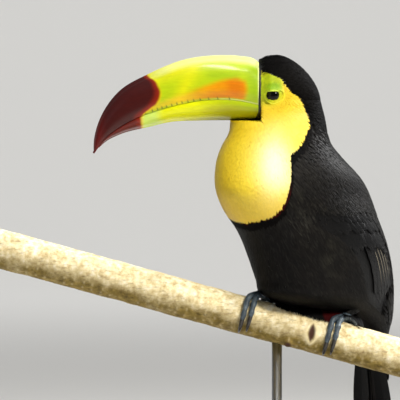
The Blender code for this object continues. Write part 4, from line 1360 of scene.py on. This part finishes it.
# Crown feathers: short, dense and velvety, the deepest black.
crown_feather = feather_finish("velvet_crown_feather", 0.6, 0.0, 0.2, 0.25, 0.03)
# Black contour feathers: deep melanin black with a low gloss that follows each vane.
black_feather = feather_finish("black_contour_feather", 0.48, 0.0, 0.2, 0.3, 0.085)
# Flight feathers: stiffer, smoother vanes, so a little glossier, with a hard shaft.
flight_feather = feather_finish("black_flight_feather", 0.42, 0.0, 0.25, 0.25, 0.09)
# Tail coverts: loose and soft, white over the tail and red under it.
covert_feather = feather_finish("soft_covert_feather", 0.7, 0.05, 0.25, 0.12, 0.2)


def eye_distance(angle, z):
    """Distance from the eye's middle across the cheek, in mm."""
    x = body_point(angle, z)[..., 0]
    return np.hypot(x - EYE_X, z - EYE_Z) + 100 * (np.cos(angle) < -0.9)


def open_face(angle, z):
    """1 where feathers grow: not in the bill, nor on the lids, nor on the bare skin round the eye."""
    x = body_point(angle, z)[..., 0]
    clear_of_bill = (x > BILL_BASE + 1.0) | (z < GONYS_BASE - 1.2)
    bare = np.hypot((x - (EYE_X - 4)) / 11.0, (z - (EYE_Z + 6)) / 13.5)
    clear_of_lids = eye_distance(angle, z) > np.where(x > EYE_X, 6.5, 7.6)
    return clear_of_bill * ((bare > 1) | (bib_inside(angle, z) < 0.6)) * clear_of_lids


def in_wing(angle, z):
    """How far inside the folded wing's outline a place is, in degrees round the ring."""
    degrees = np.degrees(np.abs(angle))
    inside = np.minimum(degrees - curve(WING_FRONT_EDGE, z), wing_rear(z) - degrees)
    return np.where((z < 290) & (z > 171), inside, -20)


def settle(depth, steps, bow, high=0.0, uneven=0.1):
    """Rise of each vane along its length: from the skin up to the form, with a slight bow."""
    along = np.linspace(0, 1, steps + 1)
    rise = -depth[:, None] * (1 - along) ** 1.4 + bow * np.sin(np.pi * along)
    rise = rise + np.broadcast_to(high, depth.shape)[:, None]
    return rise + chance.uniform(-uneven, uneven, len(depth))[:, None] * along


def bib_density(angle, z):
    """Tufts per mm²: on the bib and the feathered part of the face."""
    return 1.05 * (bib_inside(angle, z) > 0.2) * open_face(angle, z)


def crown_density(angle, z):
    """Feathers per mm²: none on the bib or the bare face, half as many at the neck's foot."""
    return 0.42 * (bib_inside(angle, z) < -0.2) * open_face(angle, z) * (1 - 0.5 * smooth_step(320, 296, z))


def body_density(angle, z):
    """Feathers per mm²: none on the bib or well under the wing, nearly twice as many low on the body."""
    grown = 0.08 * (bib_inside(angle, z) < -0.2) * (in_wing(angle, z) < 9)
    return grown * (1 + 0.8 * smooth_step(240, 200, z))


def barb_density(angle, z):
    """Barbs per mm²: none on the bib or well under the wing, fewer on the back, fading up the neck."""
    degrees = np.degrees(np.abs(angle))
    wing_reach = 3 + 12 * smooth_step(262, 236, z) * (degrees < 96)
    grown = 0.52 * (bib_inside(angle, z) < -0.3) * ((in_wing(angle, z) < wing_reach) | (z > 271))
    return grown * smooth_step(338, 306, z) * (1 - 0.35 * smooth_step(100, 130, degrees))


def covert_density(angle, z):
    """Coverts per mm²: over the tail's root behind, and under it in front."""
    return 0.16 * ((np.abs(angle) > 2.35) * (z < 206) + (np.abs(angle) < 0.9) * (z < 177) * (z > 160))


# Bib and face tufts.
angle, z = scatter(bib_density, 256, 409)
on_face = smooth_step(330, 348, z)
length = 8.5 - 5.6 * on_face
length *= chance.uniform(0.8, 1.15, len(z)) * np.clip(eye_distance(angle, z) / 14, 0.5, 1)
depth = np.minimum(coat_depth(angle, z), 2.4)
line, normal = lie(body_point(angle, z), length, 4, chance.normal(0, 0.05, len(z)), BIB_LIE)
tone = tip_tone(line, 4)
rise = settle(depth, 4, 0.1, 0.0, 0.03)
width = 2.0 - 0.9 * on_face
on_bib = bib_inside(ring_place(line[:, 4])[0], line[:, 4, 2]) > -0.1
parts = (
    ("bib_feathers_left", on_bib & (angle >= 0), bib_feather),
    ("bib_feathers_right", on_bib & (angle < 0), bib_feather),
    ("bib_border_feathers", ~on_bib, crown_feather),
)
for name, part, finish in parts:
    plumes(name, line[part], normal[part], width[part], rise[part], tone[part], 3, finish,
           tip=3.5, ragged=0.35, camber=0.06, room=None)

# Crown, nape and neck feathers.
angle, z = scatter(crown_density, 292, 409)
length = (6.0 + 5.0 * smooth_step(345, 305, z)) * chance.uniform(0.8, 1.15, len(z))
depth = np.minimum(coat_depth(angle, z), 2.6)
line, normal = lie(body_point(angle, z), length, 5, chance.normal(0, 0.1, len(z)))
tone = tip_tone(line, 4)
width = 2.1 + 0.9 * smooth_step(345, 305, z)
plumes("crown_feathers", line, normal, width, settle(depth, 5, 0.1, uneven=0.05), tone, 4, crown_feather,
       tip=3.0, ragged=0.9)

# Breast, flank, belly and back feathers: broad vanes, and over them the fine loose barbs of their tips.
angle, z = scatter(body_density, 172, 302)
back = smooth_step(110, 140, np.degrees(np.abs(angle)))
length = (15 + 4 * back - 2 * smooth_step(270, 300, z)) * chance.uniform(0.85, 1.15, len(z))
length *= 1 - 0.58 * smooth_step(194, 176, z)     # the lowest ones are short and end over the tail's root
depth = np.minimum(coat_depth(angle, z), 4.5)
line, normal = lie(body_point(angle, z), length, 6, chance.normal(0, 0.08, len(z)))
tone = tip_tone(line, 5)
rise = settle(depth, 6, 0.2, -0.5)
for name, part in (("left", angle >= 0), ("right", angle < 0)):
    plumes(f"body_feathers_{name}", line[part], normal[part], (6.5 + 2.0 * back)[part], rise[part],
           tone[part], 6, black_feather, tip=2.6, ragged=1.6, camber=0.05)

angle, z = scatter(barb_density, 176, 336)
back = smooth_step(100, 130, np.degrees(np.abs(angle)))
length = (10.5 - 2.5 * smooth_step(290, 320, z)) * chance.uniform(0.75, 1.2, len(z))
line, normal = lie(body_point(angle, z), length, 4, chance.normal(0, 0.09, len(z)))
glossy = 0.25 + 0.75 * blot(body_point(angle, z)[:, 0], z, (16, 266), (12, 16))
tone = blend_in(tip_tone(line, 4), BARB_GLOSS, glossy * chance.uniform(0, 1, len(z)) ** 3)
high = 0.05 + 0.4 * (z > 271) - 0.3 * smooth_step(296, 312, z)
for name, part in (("left", angle >= 0), ("right", angle < 0)):
    plumes(f"body_barbs_{name}", line[part], normal[part], (1.5 + 0.7 * back)[part],
           settle(np.full(part.sum(), 1.3), 4, 0.1, high[part], 0.05), tone[part], 3, black_feather,
           tip=2.2, ragged=0.6, camber=0.12)

# Thighs: a sleeve of loose feathers round each shank, from the belly down to the foot.
THIGH_FEATHERS = 150
HEM_FEATHERS = 380

lines, normals = [], []
order = np.arange(THIGH_FEATHERS)[:, None]
for hub in FOOT_HUBS:
    across = unit(np.cross(TARSUS_HEADING, (0, 0, 1.0)))
    over = np.cross(across, TARSUS_HEADING)
    turn = order * GOLDEN_TURN
    along = 27 - 17 * (order + 0.5) / THIGH_FEATHERS - 12 * np.linspace(0, 1, 7)
    reach = 3.6 + 7.0 * smooth_step(0, 26, along)
    radial = np.cos(turn)[..., None] * across + np.sin(turn)[..., None] * over
    lines.append(hub + along[..., None] * TARSUS_HEADING + reach[..., None] * radial)
    normals.append(np.broadcast_to(radial, lines[-1].shape))
line, normal = np.concatenate(lines), np.concatenate(normals)
plumes("thigh_feathers", line, normal, np.full(len(line), 3.0), settle(np.full(len(line), 1.5), 6, 0.2),
       flat(BLACK, len(line)), 5, black_feather, tip=2.4, ragged=1.5, room=0.4)

# Belly hem: the lowest feathers hang over the branch between the feet, dark red at the rear.
place = -13 + 76 * (np.arange(HEM_FEATHERS) * GOLDEN_SHARE % 1)
near_foot = sum(bell(place, foot, 9) for foot in FOOT_PLACES.values())
fall = np.linspace(0, 1, 7)
last = (44 - 14 * near_foot - 12 * smooth_step(36, 50, place) + chance.uniform(-9, 5, HEM_FEATHERS))[:, None]
turned_by = -25 + (last + 25) * fall
drop = (7.9 - 2.2 * near_foot[:, None]) * np.sin(fall * np.pi / 2)
reach = PERCH_RADIUS + 9 + 2.5 * near_foot[:, None] - drop
along = place[:, None] + 6 * fall - 3
line = perch_point(along, turned_by, reach)
normal = unit(line - perch_point(along, 0, 0))
tone = blend_in(flat(BLACK, HEM_FEATHERS), HEM_RED, smooth_step(31, 34, place) * smooth_step(47, 43, place))
rise = settle(np.full(HEM_FEATHERS, 0.8), 6, 0.1, 0.1)
plumes("hem_feathers", line, normal, np.full(HEM_FEATHERS, 2.4), rise, tone, 5, black_feather,
       tip=2.6, ragged=1.4, room=0.5)

# Coverts over and under the tail.
angle, z = scatter(covert_density, 150, 208)
length = (17 - 4 * (np.abs(angle) < 1)) * chance.uniform(0.85, 1.15, len(z))
line, normal = lie(body_point(angle, z), length, 6, chance.normal(0, 0.08, len(z)), COVERT_LIE)
tone = tip_tone(line, 3)
plumes("tail_coverts", line, normal, np.full(len(z), 5.5), settle(np.full(len(z), 3.0), 6, 0.3, 0.2), tone, 6,
       covert_feather, tip=2.6, ragged=2.6)

# ---------------------------------------------------------------------------------------------
# Wings: folded against the body. From under to over lie the primaries' tips, the secondaries,
# the tertials, then rows of coverts up to the shoulder. Each vane's rear edge tucks under the next.

WING_ROWS = (
    # name, feathers, root share, root height, tip share, tip height, width, level
    ("primaries", 6, (0.12, 0.60), (226, 232), (0.36, 0.62), (170.5, 180), 9.0, -3.0),
    ("secondaries", 11, (0.06, 0.92), (252, 250), (0.10, 0.80), (186, 203), 10.5, -2.3),
    ("tertials", 7, (0.54, 0.98), (260, 256), (0.47, 0.92), (200, 208), 10.0, -1.3),
    ("greater_coverts", 12, (0.04, 0.97), (268, 262), (0.05, 0.95), (236, 240), 10.0, -1.1),
    ("median_coverts", 12, (0.05, 0.95), (276, 270), (0.05, 0.95), (250, 252), 9.0, -0.7),
    ("lesser_coverts_1", 12, (0.05, 0.95), (282, 277), (0.05, 0.95), (259, 260), 8.0, -0.5),
    ("lesser_coverts_2", 11, (0.10, 0.92), (287, 282), (0.06, 0.94), (267, 267), 8.0, -0.4),
)
WING_STEPS = 22
STRIPS_A_ROW, STRIP_STEP, STRIP_RISE = 29, 0.034, 0.33           # the feathers' places on the unwrap


def wing_place(side, share, z):
    """Angle on the form at a share of the wing's width, 0 at its front edge and 1 at its rear edge."""
    front, rear = np.radians(curve(WING_FRONT_EDGE, z)), np.radians(curve(WING_REAR_EDGE, z))
    low_width = np.radians(26) * smooth_step(262, 292, z)
    middle, half = (front + rear) / 2, np.maximum((rear - front) / 2, low_width)
    return side * (middle + (share * 2 - 1) * half)


along = np.linspace(0, 1, WING_STEPS + 1)
for side, name in ((1, "left"), (-1, "right")):
    lines, normals, widths, rises, edges = [], [], [], [], []
    for row, count, root_share, root_z, tip_share, tip_z, wide, level in WING_ROWS:
        order = np.linspace(0, 1, count)[:, None]
        root = root_share[0] + (root_share[1] - root_share[0]) * order
        end = tip_share[0] + (tip_share[1] - tip_share[0]) * order
        top = root_z[0] + (root_z[1] - root_z[0]) * order
        uneven = 2.2 if "coverts" in row else 0.8
        low = tip_z[0] + (tip_z[1] - tip_z[0]) * order + chance.uniform(-1, 1, (count, 1)) * uneven
        height = top + (low - top) * along
        angle = wing_place(side, root + (end - root) * along, height)
        lines.append(body_point(angle, height))
        normals.append(body_normal(angle, height))
        worn = (row == "tertials") * (order[:, 0] > 0.3)
        edges.append(blend_in(flat(BLACK, count), WORN_EDGE, worn))
        widths.append(np.full(count, wide) * chance.uniform(0.95, 1.05, count))
        rise = level - 1.6 * (1 - along) ** 1.5 + 0.06 * order * count / 3
        rises.append(rise + 0.25 * np.sin(np.pi * along))
    line, normal = np.concatenate(lines), np.concatenate(normals)
    strips = np.arange(len(line))
    at = np.stack((
        0.005 + (strips % STRIPS_A_ROW) * STRIP_STEP, 0.005 + (strips // STRIPS_A_ROW) * STRIP_RISE), axis=-1)
    wing = plumes(
        f"wing_feathers_{name}", line, normal, np.concatenate(widths), np.concatenate(rises),
        flat(BLACK, len(line)), 8, flight_feather, tip=4.0, ragged=1.1, camber=0.06,
        tilt=-side * 0.4, edge=np.concatenate(edges)[:, None, None], edge_end=(0.9, 0.6), shaft=0.05, hood=0.7,
        at=(at, (0.03, 0.32)), room=None)
    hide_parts(f"wing_{name}")

# ---------------------------------------------------------------------------------------------
# Tail: ten stiff black feathers about 120 mm long, nearly square at the end, folded one over the
# next with the middle pair on top. They start inside the body and run down behind the branch.

TAIL_ROOT = 172.0
TAIL_BASE = 167.0
TAIL_END = 51.0
TAIL_TIP = np.array((84.0, 60.5))
TAIL_FEATHERS = 10
TAIL_STEPS = 26

order = np.arange(TAIL_FEATHERS) - (TAIL_FEATHERS - 1) / 2
along = np.linspace(0, 1, TAIL_STEPS + 1)
left = np.array((math.sin(BODY_TURN), -math.cos(BODY_TURN), 0))
root_middle = body_point(np.array((0.0, np.pi)), TAIL_BASE).mean(axis=0)
tip_middle = np.array((*TAIL_TIP, TAIL_END))
below_base = (TAIL_ROOT - (TAIL_ROOT - TAIL_END) * along) - TAIL_BASE
axis_line = root_middle + (tip_middle - root_middle) * below_base[:, None] / (TAIL_END - TAIL_BASE)
shorter = 0.25 * order ** 2
line = axis_line + left * (order[:, None] * (1.6 + 2.5 * along))[..., None]
line = line + np.array((0, 0, 1.0)) * (shorter[:, None] * along)[..., None]
normal = np.broadcast_to(BODY_BACK, line.shape)
rise = 1.6 - 0.8 * np.abs(order)[:, None] + 0 * along - 0.5 * along
strips = np.arange(TAIL_FEATHERS)
tail = plumes(
    "tail_feathers", line, normal, np.full(TAIL_FEATHERS, 17.5), rise, flat(BLACK, TAIL_FEATHERS), 8,
    flight_feather, tip=9.0, ragged=0.3, camber=0.07, edge=TAIL_EDGE, shaft=0.15, hood=0.5,
    at=(np.stack((0.01 + strips * 0.098, 0.01 + 0 * strips), axis=-1), (0.09, 0.97)), room=None)
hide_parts("tail")
